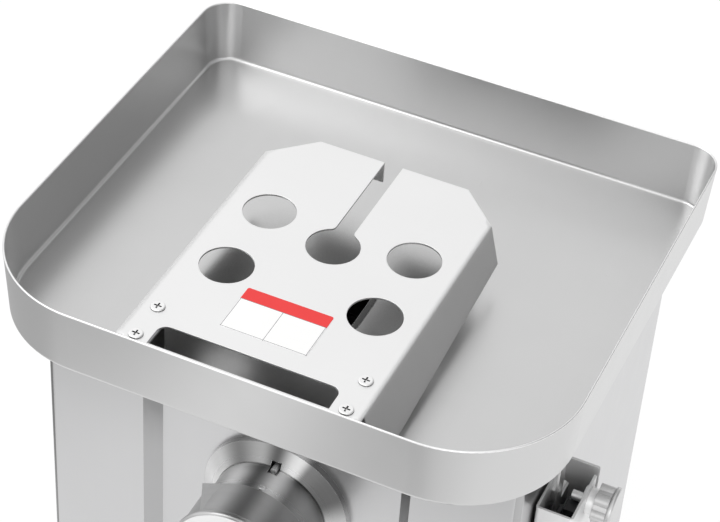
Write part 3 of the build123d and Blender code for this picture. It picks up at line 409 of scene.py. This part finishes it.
@dataclass(frozen=True)
class TurnedSteel(Finish):
    """Bright steel with the fine rings that a lathe leaves about an axis along Y, and long light and dark
    bands of painted reflection by the angle about that axis.

    Each band is an angle in degrees from straight up and a grey level.
    """

    tint: Colour = (0.95, 0.95, 0.95)
    roughness: float = 0.24
    groove: float = 0.05 * MM
    groove_strength: float = 0.14
    fine_rings: tuple[float, float] = (2600.0, 2100.0)
    broad_rings: tuple[float, float] = (240.0, 200.0)
    ring_share: float = 0.08
    ring_level: float = 0.3
    ring_wear: float = 0.1
    centre: Place = (0.0, 0.0, 0.0)
    reflection_bands: tuple[tuple[float, float], ...] = ((-180.0, 0.8), (180.0, 0.8))
    satin: float = 0.7
    end_facing: float = 0.9
    end_highlight: float = 0.0
    shade_radius: float = 80.0 * MM
    painted_shade_level: float = 0.12
    highlight_level: float = 0.95
    edge: float = 0.6 * MM
    shelter: float = 30.0 * MM
    open_from: float = 0.3

    def make(self, surface: Surface) -> bpy.types.Material:
        """Painted reflection bands by the angle about the axis, fine rings, a painted highlight along edges
        and, where set, on end faces, and painted shade in crevices and far from the axis.
        """
        offset = surface.vector("SUBTRACT", surface.place(), self.centre)
        across, along, up = surface.parts(offset)
        flat = surface.vector("MULTIPLY", offset, (1.0, 0.0, 1.0))
        radius = surface.vector("LENGTH", flat, offset, "Value")
        angle = surface.node("ShaderNodeMath", {"operation": "ARCTAN2"}, {0: across, 1: up})
        turn = 0.5 + angle * (0.5 / math.pi)
        # painted reflection: light and dark bands by the angle about the axis
        stops = [(0.5 + degrees / 360.0, level) for degrees, level in self.reflection_bands]
        painted_reflection = surface.node("ShaderNodeValToRGB", {"stops": stops}, {0: turn})
        facing = abs(surface.parts(surface.node("ShaderNodeNewGeometry", output="Normal"))[1])
        # painted highlight: end faces plainly bright instead of the bands
        end_highlight_mask = (facing > self.end_facing) * self.end_highlight
        painted_reflection = surface.blend(end_highlight_mask, painted_reflection, grey(self.highlight_level))
        # painted shade far out from the axis
        painted_reflection = surface.blend(radius > self.shade_radius, painted_reflection, grey(self.painted_shade_level))
        fine = surface.ripple(radius * self.fine_rings[0] + along * self.fine_rings[1], FINE_DETAIL)
        broad = surface.ripple(radius * self.broad_rings[0] + along * self.broad_rings[1])
        rounded = surface.soft_edge(self.edge)
        colour = surface.vector("MULTIPLY", painted_reflection, self.tint)
        colour = surface.blend(self.ring_share * broad, colour, grey(self.ring_level))
        # painted shade in crevices
        colour = surface.blend(surface.crevice(self.shelter, self.open_from), colour, grey(self.painted_shade_level))
        # painted highlight along edges
        colour = surface.blend(surface.edge_mask(rounded), colour, grey(self.highlight_level))
        normal = surface.bump(fine, self.groove_strength, self.groove, rounded)
        # Where the painted reflection is bright, Metallic drops by the satin share so the lamps light it
        # diffusely.
        level = surface.node("ShaderNodeRGBToBW", None, {0: painted_reflection})
        return surface.finish({"Base Color": colour, "Metallic": 1.0 - self.satin * level * level,
                               "Roughness": self.roughness + self.ring_wear * broad, "Normal": normal})


@dataclass(frozen=True)
class MachinedSteel(Finish):
    """Machined or plated steel with a thin uneven film on it."""

    tint: Colour = (0.6, 0.6, 0.61)
    roughness: float = 0.28
    film: float = 0.25
    film_wear: float = 0.16
    film_scale: float = 120.0
    mark_scale: float = 900.0
    mark_strength: float = 0.15
    mark_height: float = 0.08 * MM
    edge: float = 0.35 * MM
    edge_highlight_level: float = 0.85
    recess_shade_level: float = 0.03
    crevice: float = 1.5 * MM
    open_from: float = 0.8
    closed_at: float = 0.0

    def make(self, surface: Surface) -> bpy.types.Material:
        """Small tool marks, a darker film in patches, a painted highlight along edges and painted shade in
        recesses.
        """
        place = surface.place()
        marks = surface.noise(place, self.mark_scale, FINE_DETAIL)
        patch = surface.noise(place, self.film_scale, FINE_DETAIL)
        rounded = surface.soft_edge(self.edge)
        colour = surface.blend(patch, scaled(self.tint, 1.0 - self.film), self.tint)
        # painted highlight along edges
        colour = surface.blend(surface.edge_mask(rounded), colour, grey(self.edge_highlight_level))
        # painted shade in recesses
        closed = surface.crevice(self.crevice, self.open_from, self.closed_at)
        colour = surface.blend(closed, colour, grey(self.recess_shade_level))
        normal = surface.bump(marks, self.mark_strength, self.mark_height, rounded)
        return surface.finish({"Base Color": colour, "Metallic": 1.0,
                               "Roughness": self.roughness + self.film_wear * patch, "Normal": normal})


@dataclass(frozen=True)
class CastMetal(Finish):
    """Cast light metal with a sandy skin."""

    tint: Colour = (0.58, 0.58, 0.58)
    roughness: float = 0.42
    skin: float = 0.25 * MM
    skin_strength: float = 0.35
    sand_scale: float = 650.0
    sand_wear: float = 0.15
    flow_scale: float = 30.0
    flow_shade: float = 0.8
    edge: float = 0.9 * MM
    edge_highlight_level: float = 0.82

    def make(self, surface: Surface) -> bpy.types.Material:
        """Sandy grain, broad flow marks and a painted highlight along edges."""
        place = surface.place()
        sand = surface.noise(place, self.sand_scale, RICH_DETAIL)
        flow = surface.noise(place, self.flow_scale, FINE_DETAIL)
        rounded = surface.soft_edge(self.edge)
        colour = surface.blend(flow, scaled(self.tint, self.flow_shade), self.tint)
        # painted highlight along edges
        colour = surface.blend(surface.edge_mask(rounded), colour, grey(self.edge_highlight_level))
        normal = surface.bump(sand, self.skin_strength, self.skin, rounded)
        return surface.finish({"Base Color": colour, "Metallic": 1.0,
                               "Roughness": self.roughness + self.sand_wear * sand, "Normal": normal})


@dataclass(frozen=True)
class Moulding(Finish):
    """Moulded plastic or rubber with a fine skin texture."""

    tint: Colour = (0.02, 0.02, 0.022)
    roughness: float = 0.45
    skin: float = 0.06 * MM
    skin_scale: float = 1500.0
    skin_strength: float = 0.4
    patch_scale: float = 60.0
    patch_wear: float = 0.14
    pale: tuple[float, float] = (1.2, 0.012)
    worn: tuple[float, float] = (1.5, 0.04)
    edge: float = 0.6 * MM
    gloss: float = 0.0

    def make(self, surface: Surface) -> bpy.types.Material:
        """Fine texture, slight paling in patches and along edges."""
        place = surface.place()
        texture = surface.noise(place, self.skin_scale, FINE_DETAIL)
        patch = surface.noise(place, self.patch_scale, FINE_DETAIL)
        rounded = surface.soft_edge(self.edge)
        colour = surface.blend(patch, self.tint, scaled(self.tint, *self.pale))
        colour = surface.blend(surface.edge_mask(rounded), colour, scaled(self.tint, *self.worn))
        normal = surface.bump(texture, self.skin_strength, self.skin, rounded)
        return surface.finish({"Base Color": colour, "Roughness": self.roughness + self.patch_wear * patch,
                               "Coat Weight": self.gloss, "Normal": normal})


@dataclass(frozen=True)
class Winding(Finish):
    """Varnished copper wire laid round an axis along Y, or laminated core steel."""

    tint: Colour = (0.5, 0.2, 0.08)
    pitch: float = 1.1 * MM
    metallic: float = 0.9
    wander: float = 1.5
    wander_scale: float = 140.0
    valley_shade: float = 0.35
    valley_roughness: float = 0.5
    rib_polish: float = 0.2
    rib_strength: float = 0.6
    rib_height: float = 0.3 * MM

    def make(self, surface: Surface) -> bpy.types.Material:
        """Ribs at an even pitch with darker valleys."""
        place = surface.place()
        along = surface.parts(place)[1]
        wander = surface.noise(place, self.wander_scale) * self.wander
        wave = surface.node("ShaderNodeMath", {"operation": "SINE"},
                            {0: along * (2.0 * math.pi / self.pitch) + wander})
        rib = 0.5 + 0.5 * wave
        colour = surface.blend(rib, scaled(self.tint, self.valley_shade), self.tint)
        normal = surface.bump(rib, self.rib_strength, self.rib_height)
        return surface.finish({"Base Color": colour, "Metallic": self.metallic,
                               "Roughness": self.valley_roughness - self.rib_polish * rib, "Normal": normal})


@dataclass(frozen=True)
class PlateFace(Finish):
    """Blank printed plate: a red band over a white field with thin dividing lines."""

    left: float = 0.0
    right: float = 0.0
    front: float = 0.0
    back: float = 0.0
    band: float = 13.0 * MM
    line: float = 0.22 * MM
    margin: float = 0.6 * MM
    whites: tuple[Colour, Colour] = ((0.96, 0.96, 0.955), (0.99, 0.99, 0.985))
    reds: tuple[Colour, Colour] = ((0.82, 0.03, 0.03), (0.88, 0.04, 0.04))
    line_tint: Colour = (0.2, 0.2, 0.21)
    roughness: float = 0.34
    fade_scale: float = 90.0
    fade_wear: float = 0.1
    film_scale: float = 400.0
    film_strength: float = 0.1
    film_height: float = 0.03 * MM
    edge: float = 0.2 * MM

    def make(self, surface: Surface) -> bpy.types.Material:
        """Flat print under a thin clear film with fine unevenness."""
        place = surface.place()
        across, deep, _ = surface.parts(place)
        low = self.back - self.band
        in_band = deep > low
        middle = (self.left + self.right) / 2
        lines = abs(deep - (self.front + self.margin)) < self.line
        for x in (middle, self.left + self.margin, self.right - self.margin):
            lines = lines | (abs(across - x) < self.line)
        lines = lines * (1.0 - in_band) | (abs(deep - low) < self.line)
        fade = surface.noise(place, self.fade_scale, FINE_DETAIL)
        field = surface.blend(fade, *self.whites)
        band = surface.blend(fade, *self.reds)
        colour = surface.blend(in_band, field, band)
        colour = surface.blend(lines, colour, self.line_tint)
        film = surface.noise(place, self.film_scale)
        normal = surface.bump(film, self.film_strength, self.film_height, surface.soft_edge(self.edge))
        return surface.finish({"Base Color": colour, "Roughness": self.roughness + self.fade_wear * fade,
                               "Normal": normal})


def head_centre() -> Place:
    """Middle of the mincing plate, on the axis that the head is turned about."""
    low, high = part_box("mincing_plate")
    return tuple((a + b) / 2 for a, b in zip(low, high))


TRAY_STEEL = SheetSteel("tray_satin_steel", tint=grey(0.66), roughness=0.31, grain=Grain.DEEP)
# brighter copy of the tray steel: a ground rim, and partly a painted highlight along it
RIM_HIGHLIGHT_STEEL = SheetSteel("rim_ground_highlight_steel", tint=grey(0.95), roughness=0.3, shade=0.9)
GUARD_STEEL = FoldedSteel("guard_bright_steel", tint=grey(0.92), roughness=0.44, middle=head_centre()[0])
BODY_STEEL = PanelSteel("body_brushed_steel", tint=(0.64, 0.64, 0.645), roughness=0.32, grain=Grain.UPRIGHT,
                        shelter=24.0 * MM, open_from=0.75, shade=0.3)
LOCK_STEEL = SheetSteel("lock_bright_steel", tint=grey(0.9), roughness=0.62, grain=Grain.UPRIGHT,
                        shelter=14.0 * MM, open_from=0.35, shade=0.6)
# angles and grey levels of the painted reflection bands on the turned parts
FLANGE_STEEL = TurnedSteel("flange_turned_steel", centre=head_centre(), reflection_bands=(
    (-180, 0.5), (-75, 1.0), (-58, 0.9), (-32, 0.25), (-12, 0.45), (2, 0.12), (18, 0.8), (30, 0.12),
    (60, 0.14), (85, 0.6), (180, 0.5)))
BARREL_STEEL = TurnedSteel("barrel_turned_steel", centre=head_centre(), reflection_bands=(
    (-180, 0.5), (-55, 0.55), (-30, 0.95), (-8, 0.18), (12, 1.0), (30, 0.2), (50, 0.32), (180, 0.5)))
NUT_STEEL = TurnedSteel("nut_turned_steel", centre=head_centre(), roughness=0.27, end_highlight=1.0, reflection_bands=(
    (-180, 0.7), (-20, 0.65), (0, 0.28), (14, 0.62), (31, 0.28), (90, 0.4), (180, 0.7)))
KNIFE_STEEL = TurnedSteel("knife_ground_steel", tint=(0.6, 0.6, 0.61), roughness=0.2, centre=head_centre())
SCREW_STEEL = MachinedSteel("screw_bright_steel", tint=grey(0.92), roughness=0.4, film=0.08)
# deep painted shade round the screw heads and in their cross recesses
GUARD_SCREW_STEEL = MachinedSteel("guard_screw_steel", tint=grey(0.95), roughness=0.42, film=0.05,
                                  crevice=2.4 * MM, open_from=0.95, closed_at=0.5)
GEAR_STEEL = MachinedSteel("gear_oiled_steel", tint=grey(0.42), roughness=0.22, film=0.4)
CASE_METAL = CastMetal("case_cast_metal")
KNOB_METAL = CastMetal("knob_tumbled_metal", tint=grey(0.72), roughness=0.28, skin=0.1 * MM)
BRONZE = MachinedSteel("washer_bronze", tint=(0.55, 0.36, 0.16), roughness=0.3)
COPPER_WIRE = Winding("winding_copper_wire")
CORE_STEEL = Winding("core_laminated_steel", tint=(0.2, 0.2, 0.21), pitch=0.8 * MM, metallic=1.0)
RUBBER = Moulding("foot_rubber", tint=grey(0.018), roughness=0.62, skin=0.12 * MM)
BLACK_PLASTIC = Moulding("black_moulding")
START_PLASTIC = Moulding("start_green_moulding", tint=(0.03, 0.28, 0.07), roughness=0.26, gloss=0.3)
STOP_PLASTIC = Moulding("stop_red_moulding", tint=(0.55, 0.02, 0.015), roughness=0.26, gloss=0.3)
PALE_PLASTIC = Moulding("pale_moulding", tint=(0.72, 0.72, 0.7), roughness=0.34)


def paint(finish: Finish, *nodes: str) -> None:
    """Give CAD nodes a finish.

    Args:
        finish: The finish.
        nodes: Names of the nodes.
    """
    material = finish.material()
    for name in nodes:
        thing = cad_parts[name]
        if not thing.material_slots:
            thing.data.materials.append(material)
        for slot in thing.material_slots:
            slot.material = material
        LOG.info("node %s: %s", name, finish.name)


def settle(piece: bpy.types.Object, body: str) -> bpy.types.Object:
    """Let a new piece ride on a body.

    Args:
        piece: The piece.
        body: Name of the CAD body.

    Returns:
        The same piece.
    """
    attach(piece, body)
    LOG.info("piece %s: %d faces on %s", piece.name, len(piece.data.polygons), body)
    return piece


def new_object(name: str, mesh: bpy.types.Mesh) -> bpy.types.Object:
    """Link a mesh into the scene as an object at the origin."""
    thing = bpy.data.objects.new(name, mesh)
    bpy.context.scene.collection.objects.link(thing)
    return thing


class ShapeTree(Graph):
    """A Geometry Nodes tree with named sizes that is turned into a plain mesh."""

    def __init__(self, name: str, sizes: dict[str, float]) -> None:
        """Start a tree.

        Args:
            name: Name of the tree and of the piece it makes.
            sizes: The tree's named inputs with their values.
        """
        super().__init__(bpy.data.node_groups.new(name, "GeometryNodeTree"))
        self.name = name
        self.sizes = sizes
        face = self.tree.interface
        face.new_socket("Shape", in_out="OUTPUT", socket_type="NodeSocketGeometry")
        self.sockets = {key: face.new_socket(key, in_out="INPUT", socket_type="NodeSocketFloat").identifier
                        for key in sizes}
        self.entry = self.tree.nodes.new("NodeGroupInput")

    def size(self, name: str) -> Value:
        """One of the tree's named sizes."""
        return Value(self, self.entry.outputs[name])

    def offset(self, across: Operand, deep: Operand, up: Operand) -> Value:
        """A vector from three measures."""
        return self.node("ShaderNodeCombineXYZ", None, {"X": across, "Y": deep, "Z": up})

    def tube(self, path: Value, radius: Operand, sides: int) -> Value:
        """A round bar along a curve.

        Args:
            path: The curve.
            radius: The bar's radius.
            sides: Number of faces round the bar.

        Returns:
            The bar's mesh.
        """
        profile = self.node("GeometryNodeCurvePrimitiveCircle", None, {"Resolution": sides, "Radius": radius})
        return self.node("GeometryNodeCurveToMesh", None,
                         {"Curve": path, "Profile Curve": profile, "Fill Caps": True})

    def piece(self, shape: Value, finish: Finish) -> bpy.types.Object:
        """Close the tree, evaluate it and keep the plain mesh.

        Args:
            shape: The geometry the tree ends in.
            finish: The finish of the piece.

        Returns:
            The piece, at the origin.
        """
        material = finish.material()
        smooth = self.node("GeometryNodeSetShadeSmooth", None, {"Geometry": shape})
        solid = self.node("GeometryNodeRealizeInstances", None, {"Geometry": smooth})
        dressed = self.node("GeometryNodeSetMaterial", None, {"Geometry": solid, "Material": material})
        self.node("NodeGroupOutput", None, {"Shape": dressed})
        thing = new_object(self.name, bpy.data.meshes.new(self.name))
        modifier = thing.modifiers.new(self.name, "NODES")
        modifier.node_group = self.tree
        for key, value in self.sizes.items():
            modifier[self.sockets[key]] = value
        graph = bpy.context.evaluated_depsgraph_get()
        mesh = bpy.data.meshes.new_from_object(thing.evaluated_get(graph))
        thing.modifiers.clear()
        thing.data = mesh
        return thing


@dataclass
class TrayTop:
    """The feed tray with its ground rim, in a brighter steel that is partly a painted highlight."""

    sheet: float = 1.5 * MM
    front_corner: float = 94.0 * MM
    back_corner: float = 26.0 * MM
    bead: float = 0.85 * MM
    bead_drop: float = 0.35 * MM
    corner_steps: int = 24
    bead_sides: int = 10
    last_back_corner: int = 1

    def build(self) -> None:
        """Dress the tray's nodes and run the bead round its rim."""
        paint(TRAY_STEEL, "feed_tray", "guard_brackets", "tray_tongue")
        settle(self.rim(), "tray")

    def rim(self) -> bpy.types.Object:
        """The smooth ground bead along the top of the tray's wall, brighter than the tray as a painted
        highlight.

        Returns:
            The bead.
        """
        low, high = (Vector(corner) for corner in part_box("feed_tray"))
        half = self.sheet / 2
        tree = ShapeTree("tray_rim_bead", {
            "Width": high.x - low.x - self.sheet, "Depth": high.y - low.y - self.sheet,
            "Middle X": (low.x + high.x) / 2, "Middle Y": (low.y + high.y) / 2,
            "Height": high.z - self.bead_drop, "Front Corner": self.front_corner - half,
            "Back Corner": self.back_corner - half, "Bead": self.bead})
        outline = tree.node("GeometryNodeCurvePrimitiveQuadrilateral", {"mode": "RECTANGLE"},
                            {"Width": tree.size("Width"), "Height": tree.size("Depth")})
        is_front = tree.node("GeometryNodeInputIndex") > self.last_back_corner
        corner = tree.size("Back Corner") + is_front * (tree.size("Front Corner") - tree.size("Back Corner"))
        rounded = tree.node("GeometryNodeFilletCurve", {"mode": "POLY"},
                            {"Curve": outline, "Count": self.corner_steps, "Radius": corner})
        middle = tree.offset(tree.size("Middle X"), tree.size("Middle Y"), tree.size("Height"))
        path = tree.node("GeometryNodeSetPosition", None, {"Geometry": rounded, "Offset": middle})
        return tree.piece(tree.tube(path, tree.size("Bead"), self.bead_sides), RIM_HIGHLIGHT_STEEL)


@dataclass
class Guard:
    """The hand guard with its screws and the blank plate on it."""

    plate_width: float = 69.85 * MM
    plate_front: float = 42.65 * MM
    plate_back: float = 89.45 * MM
    plate_corner: float = 1.6 * MM
    plate_thickness: float = 0.3 * MM
    corner_steps: int = 6

    def build(self) -> None:
        """Dress the guard and lay the plate on it."""
        paint(GUARD_STEEL, "hand_guard")
        paint(GUARD_SCREW_STEEL, "guard_screws")
        settle(self.plate(), "tray")

    def plate(self) -> bpy.types.Object:
        """The blank plate, a thin slab with rounded corners.

        Returns:
            The plate.
        """
        low, high = (Vector(corner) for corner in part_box("hand_guard"))
        middle = (low.x + high.x) / 2
        left, right = middle - self.plate_width / 2, middle + self.plate_width / 2
        front, back = low.y + self.plate_front, low.y + self.plate_back
        outline = []
        for x, y, start in ((right, back, 0), (left, back, 90), (left, front, 180), (right, front, 270)):
            inside = Vector((x, y)) + self.plate_corner * Vector((math.copysign(1, middle - x),
                                                                  1 if y == front else -1))
            for step in range(self.corner_steps + 1):
                angle = math.radians(start + 90 * step / self.corner_steps)
                outline.append(inside + self.plate_corner * Vector((math.cos(angle), math.sin(angle))))
        thing = slab("guard_blank_plate", outline, high.z, high.z + self.plate_thickness)
        face = PlateFace("blank_plate_print", left=left, right=right, front=front, back=back)
        thing.data.materials.append(face.material())
        return thing


def slab(name: str, outline: list[Vector], low: float, high: float) -> bpy.types.Object:
    """A flat slab with an outline seen from above.

    Args:
        name: Name of the piece.
        outline: Corners in order, counter-clockwise.
        low: Height of the underside.
        high: Height of the top.

    Returns:
        The slab.
    """
    mesh = bpy.data.meshes.new(name)
    shape = bmesh.new()
    face = shape.faces.new([shape.verts.new((point.x, point.y, low)) for point in outline])
    made = bmesh.ops.extrude_face_region(shape, geom=[face])
    for vert in (item for item in made["geom"] if isinstance(item, bmesh.types.BMVert)):
        vert.co.z = high
    bmesh.ops.recalc_face_normals(shape, faces=shape.faces)
    shape.to_mesh(mesh)
    shape.free()
    return new_object(name, mesh)


@dataclass
class SheetBody:
    """The sheet-steel body with its panels and feet."""

    foot_spread: float = 320.0 * MM
    foot_depth: float = 265.5 * MM
    ring_rows: int = 3
    ring_start: float = 8.0 * MM
    ring_pitch: float = 7.0 * MM
    foot_low_radius: float = 18.0 * MM
    foot_lean: float = 0.1
    ring: float = 0.9 * MM
    ring_steps: int = 40
    ring_sides: int = 6

    def build(self) -> None:
        """Dress the body's nodes and mould rings round the feet."""
        paint(BODY_STEEL, "body_shell", "base_plate", "top_panel", "back_panel")
        paint(SCREW_STEEL, "back_screws", "foot_screws")
        paint(RUBBER, "rubber_feet")
        paint(BLACK_PLASTIC, "cable_gland")
        settle(self.foot_rings(), "housing")

    def foot_rings(self) -> bpy.types.Object:
        """Grip rings round the four feet.

        Returns:
            The rings as one piece.
        """
        low, high = (Vector(corner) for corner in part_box("rubber_feet"))
        tree = ShapeTree("foot_grip_rings", {
            "Spread": self.foot_spread, "Depth": self.foot_depth, "Middle X": (low.x + high.x) / 2,
            "Middle Y": (low.y + high.y) / 2, "Ring": self.ring})
        corners = tree.node("GeometryNodeMeshGrid", None, {
            "Size X": tree.size("Spread"), "Size Y": tree.size("Depth"), "Vertices X": 2, "Vertices Y": 2})
        rows = tree.tree.nodes.new("GeometryNodeJoinGeometry")
        for row in range(self.ring_rows):
            up = self.ring_start + row * self.ring_pitch
            circle = tree.node("GeometryNodeCurvePrimitiveCircle", None, {
                "Resolution": self.ring_steps, "Radius": self.foot_low_radius + self.foot_lean * up})
            ring = tree.tube(circle, tree.size("Ring"), self.ring_sides)
            place = tree.offset(tree.size("Middle X"), tree.size("Middle Y"), up)
            points = tree.node("GeometryNodeSetPosition", None, {"Geometry": corners, "Offset": place})
            rings = tree.node("GeometryNodeInstanceOnPoints", None, {"Points": points, "Instance": ring})
            tree.tree.links.new(rings.socket, rows.inputs[0])
        return tree.piece(Value(tree, rows.outputs[0]), RUBBER)


@dataclass
class GrindingHead:
    """The flange, barrel, ring nut and grinding set."""

    def build(self) -> None:
        """Dress the head's nodes."""
        paint(FLANGE_STEEL, "front_flange")
        paint(BARREL_STEEL, "grinder_head")
        paint(NUT_STEEL, "ring_nut")
        paint(KNIFE_STEEL, "auger", "cross_blade", "mincing_plate")
        paint(SCREW_STEEL, "locating_pin")
        paint(BRONZE, "thrust_washer")


@dataclass
class Drive:
    """The gearbox, motor and capacitor inside the body."""

    def build(self) -> None:
        """Dress the drive's nodes."""
        paint(CASE_METAL, "gearbox_case", "gearbox_cover", "motor_housing", "end_bell")
        paint(GEAR_STEEL, "drive_shaft", "drive_gear", "layshaft", "layshaft_gear", "motor_shaft",
              "drive_bearings", "layshaft_bearings", "motor_bearings", "capacitor_clamp")
        paint(SCREW_STEEL, "cover_bolts", "foot_bolts", "motor_bolts")
        paint(CORE_STEEL, "stator", "rotor")
        paint(COPPER_WIRE, "stator_winding")
        paint(RUBBER, "shaft_seal")
        paint(BLACK_PLASTIC, "cooling_fan")
        paint(PALE_PLASTIC, "run_capacitor")


@dataclass
class TrayLock:
    """The lock and interlock of the tray on the right side."""

    def build(self) -> None:
        """Dress the lock's nodes."""
        paint(LOCK_STEEL, "lock_bracket")
        paint(SCREW_STEEL, "lock_screws", "lock_boss", "lock_stud")
        paint(KNOB_METAL, "star_knob")
        paint(BLACK_PLASTIC, "interlock_switch")


@dataclass
class Switch:
    """The start and stop switch on the left side."""

    mark: float = 0.7 * MM
    mark_reach: float = 5.0 * MM
    sink: float = 0.2 * MM
    steps: int = 36
    sides: int = 8

    def build(self) -> None:
        """Dress the switch and raise a bar and a ring on its buttons."""
        paint(BLACK_PLASTIC, "switch_plate", "switch_body")
        paint(START_PLASTIC, "start_button")
        paint(STOP_PLASTIC, "stop_button")
        settle(self.raised_mark("start_bar_mark", "start_button", False), "start_button")
        settle(self.raised_mark("stop_ring_mark", "stop_button", True), "stop_button")

    def raised_mark(self, name: str, button: str, is_ring: bool) -> bpy.types.Object:
        """A bar or a ring raised on the outer face of a button.

        Args:
            name: Name of the piece.
            button: The node that carries it.
            is_ring: Whether the mark is a ring rather than a bar.

        Returns:
            The mark.
        """
        low, high = (Vector(corner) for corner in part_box(button))
        tree = ShapeTree(name, {"Reach": self.mark_reach, "Thickness": self.mark, "Face X": low.x + self.sink,
                                "Middle Y": (low.y + high.y) / 2, "Middle Z": (low.z + high.z) / 2})
        reach = tree.size("Reach")
        if is_ring:
            flat = tree.node("GeometryNodeCurvePrimitiveCircle", None,
                             {"Resolution": self.steps, "Radius": reach})
            path = tree.node("GeometryNodeTransform", None,
                             {"Geometry": flat, "Rotation": (0.0, math.pi / 2, 0.0)})
        else:
            path = tree.node("GeometryNodeCurvePrimitiveLine", None,
                             {"Start": tree.offset(0.0, 0.0, 0.0 - reach),
                              "End": tree.offset(0.0, 0.0, reach)})
        place = tree.offset(tree.size("Face X"), tree.size("Middle Y"), tree.size("Middle Z"))
        moved = tree.node("GeometryNodeSetPosition", None, {"Geometry": path, "Offset": place})
        return tree.piece(tree.tube(moved, tree.size("Thickness"), self.sides), PALE_PLASTIC)


@dataclass(frozen=True)
class Lamp:
    """A soft square lamp."""

    name: str
    place: Place
    side: float
    power: float

    def hang(self, target: Place) -> None:
        """Hang the lamp and turn it towards a target."""
        data = bpy.data.lights.new(self.name, "AREA")
        data.size = self.side
        data.energy = self.power
        thing = bpy.data.objects.new(self.name, data)
        thing.location = self.place
        aim = Vector(target) - Vector(self.place)
        thing.rotation_euler = aim.to_track_quat("-Z", "Y").to_euler()
        bpy.context.scene.collection.objects.link(thing)


@dataclass
class Studio:
    """White floor, soft surroundings, lamps and the camera.

    Each stripe that mirrors see on the floor is a place across in metres and a brightness.
    """

    azimuth: float = 21.909
    elevation: float = 40.335
    roll: float = 4.248
    lens: float = 113.83
    sensor: float = 36.0
    eye: Place = (0.49845, -1.2649, 1.6034)
    lamps: tuple[Lamp, ...] = (Lamp("key_lamp", (-1.3, -0.9, 2.3), 1.6, 16.0),
                               Lamp("front_lamp", (0.9, -2.4, 1.3), 1.2, 7.0))
    lamp_target: Place = (0.0, 0.0, 0.35)
    shade_side: Place = (0.755, 0.554, 0.352)
    shade_edge: tuple[float, float] = (0.54, 0.78)
    shade_level: float = 0.4
    fill_level: float = 0.8
    floor_size: float = 12.0
    floor_depth: float = 0.02
    floor_tint: float = 0.86
    floor_glow: float = 1.06
    glow_share: float = 0.86
    mirror_stripes: tuple[tuple[float, float], ...] = (
        (-0.9, 0.5), (-0.34, 0.55), (-0.195, 1.35), (-0.08, 0.42), (0.02, 0.45), (0.22, 0.8), (0.5, 0.95))
    mirror_front: tuple[float, float] = (-0.46, -0.54)
    mirror_left: tuple[float, float] = (-0.4, -0.52)

    def build(self) -> None:
        """Set up the floor, world, lamps and camera."""
        bpy.context.scene.view_settings.view_transform = "Standard"
        self.floor()
        self.surroundings()
        for lamp in self.lamps:
            lamp.hang(self.lamp_target)
        self.camera()

    def floor(self) -> None:
        """A white floor that keeps the object's shadow, and glows in stripes of painted light that mirrors
        see.
        """
        surface = Surface("studio_floor")
        camera, glossy, through = self.rays(surface)
        across, deep, _ = surface.parts(surface.place())
        stops = [(0.5 + place / 2, level) for place, level in self.mirror_stripes]
        stripes = surface.node("ShaderNodeValToRGB", {"stops": stops}, {0: 0.5 + across * 0.5})
        striped = surface.smooth(deep, *self.mirror_front) | surface.smooth(across, *self.mirror_left)
        level = surface.blend(striped * glossy, grey(self.floor_glow), stripes)
        matt = surface.node("ShaderNodeBsdfDiffuse", None, {"Color": (*grey(self.floor_tint), 1.0)})
        glow = surface.node("ShaderNodeEmission", None, {"Color": level})
        seen = (camera | glossy | through) * self.glow_share
        both = surface.node("ShaderNodeMixShader", None, {0: seen, 1: matt, 2: glow})
        surface.node("ShaderNodeOutputMaterial", None, {"Surface": both})
        half = self.floor_size / 2
        outline = [Vector((x, y)) for x, y in ((-half, -half), (half, -half), (half, half), (-half, half))]
        ground = slab("studio_floor", outline, -self.floor_depth, 0.0)
        ground.data.materials.append(surface.material)
        LOG.info("stage studio_floor")

    @staticmethod
    def rays(graph: Graph) -> tuple[Value, Value, Value]:
        """Masks of the rays from the camera, from mirrors and through glass."""
        return tuple(graph.node("ShaderNodeLightPath", output=f"Is {word} Ray")
                     for word in ("Camera", "Glossy", "Transmission"))

    def surroundings(self) -> None:
        """White to the camera, and soft light with a darker side to the object."""
        world = bpy.data.worlds.new("studio_world")
        bpy.context.scene.world = world
        world.use_nodes = True
        world.node_tree.nodes.clear()
        graph = Graph(world.node_tree)
        way = graph.node("ShaderNodeTexCoord", output="Generated")
        side = Vector(self.shade_side).normalized()
        toward = graph.node("ShaderNodeVectorMath", {"operation": "DOT_PRODUCT"}, {0: way, 1: side}, "Value")
        shade = graph.smooth(toward, *self.shade_edge)
        camera, glossy, through = self.rays(graph)
        plain = camera | through
        mirrored = 1.0 - (1.0 - self.shade_level) * shade
        lit = glossy * mirrored + (1.0 - glossy) * self.fill_level
        level = plain + (1.0 - plain) * lit
        light = graph.node("ShaderNodeBackground", None, {"Color": level, "Strength": 1.0})
        graph.node("ShaderNodeOutputWorld", None, {"Surface": light})

    def camera(self) -> None:
        """The camera at the photograph's angle."""
        angles = (self.azimuth, self.elevation, self.roll)
        azimuth, elevation, roll = (math.radians(angle) for angle in angles)
        back = Vector((math.sin(azimuth) * math.cos(elevation), -math.cos(azimuth) * math.cos(elevation),
                       math.sin(elevation)))
        right = Vector((math.cos(azimuth), math.sin(azimuth), 0.0))
        up = back.cross(right)
        across = right * math.cos(roll) + up * math.sin(roll)
        upright = up * math.cos(roll) - right * math.sin(roll)
        data = bpy.data.cameras.new("photo_camera")
        data.sensor_fit = "HORIZONTAL"
        data.sensor_width = self.sensor
        data.lens = self.lens
        thing = bpy.data.objects.new("photo_camera", data)
        turn = Matrix((across, upright, back)).transposed().to_4x4()
        thing.matrix_world = Matrix.Translation(Vector(self.eye)) @ turn
        bpy.context.scene.collection.objects.link(thing)
        bpy.context.scene.camera = thing


def main() -> None:
    """Build every sub-assembly in order, then the studio."""
    logging.basicConfig(level=logging.INFO, format="%(name)s %(message)s")
    for group in (SheetBody(), TrayTop(), Guard(), GrindingHead(), Drive(), TrayLock(), Switch(), Studio()):
        group.build()
        LOG.info("built %s", type(group).__name__)


if __name__ == "__main__":
    main()
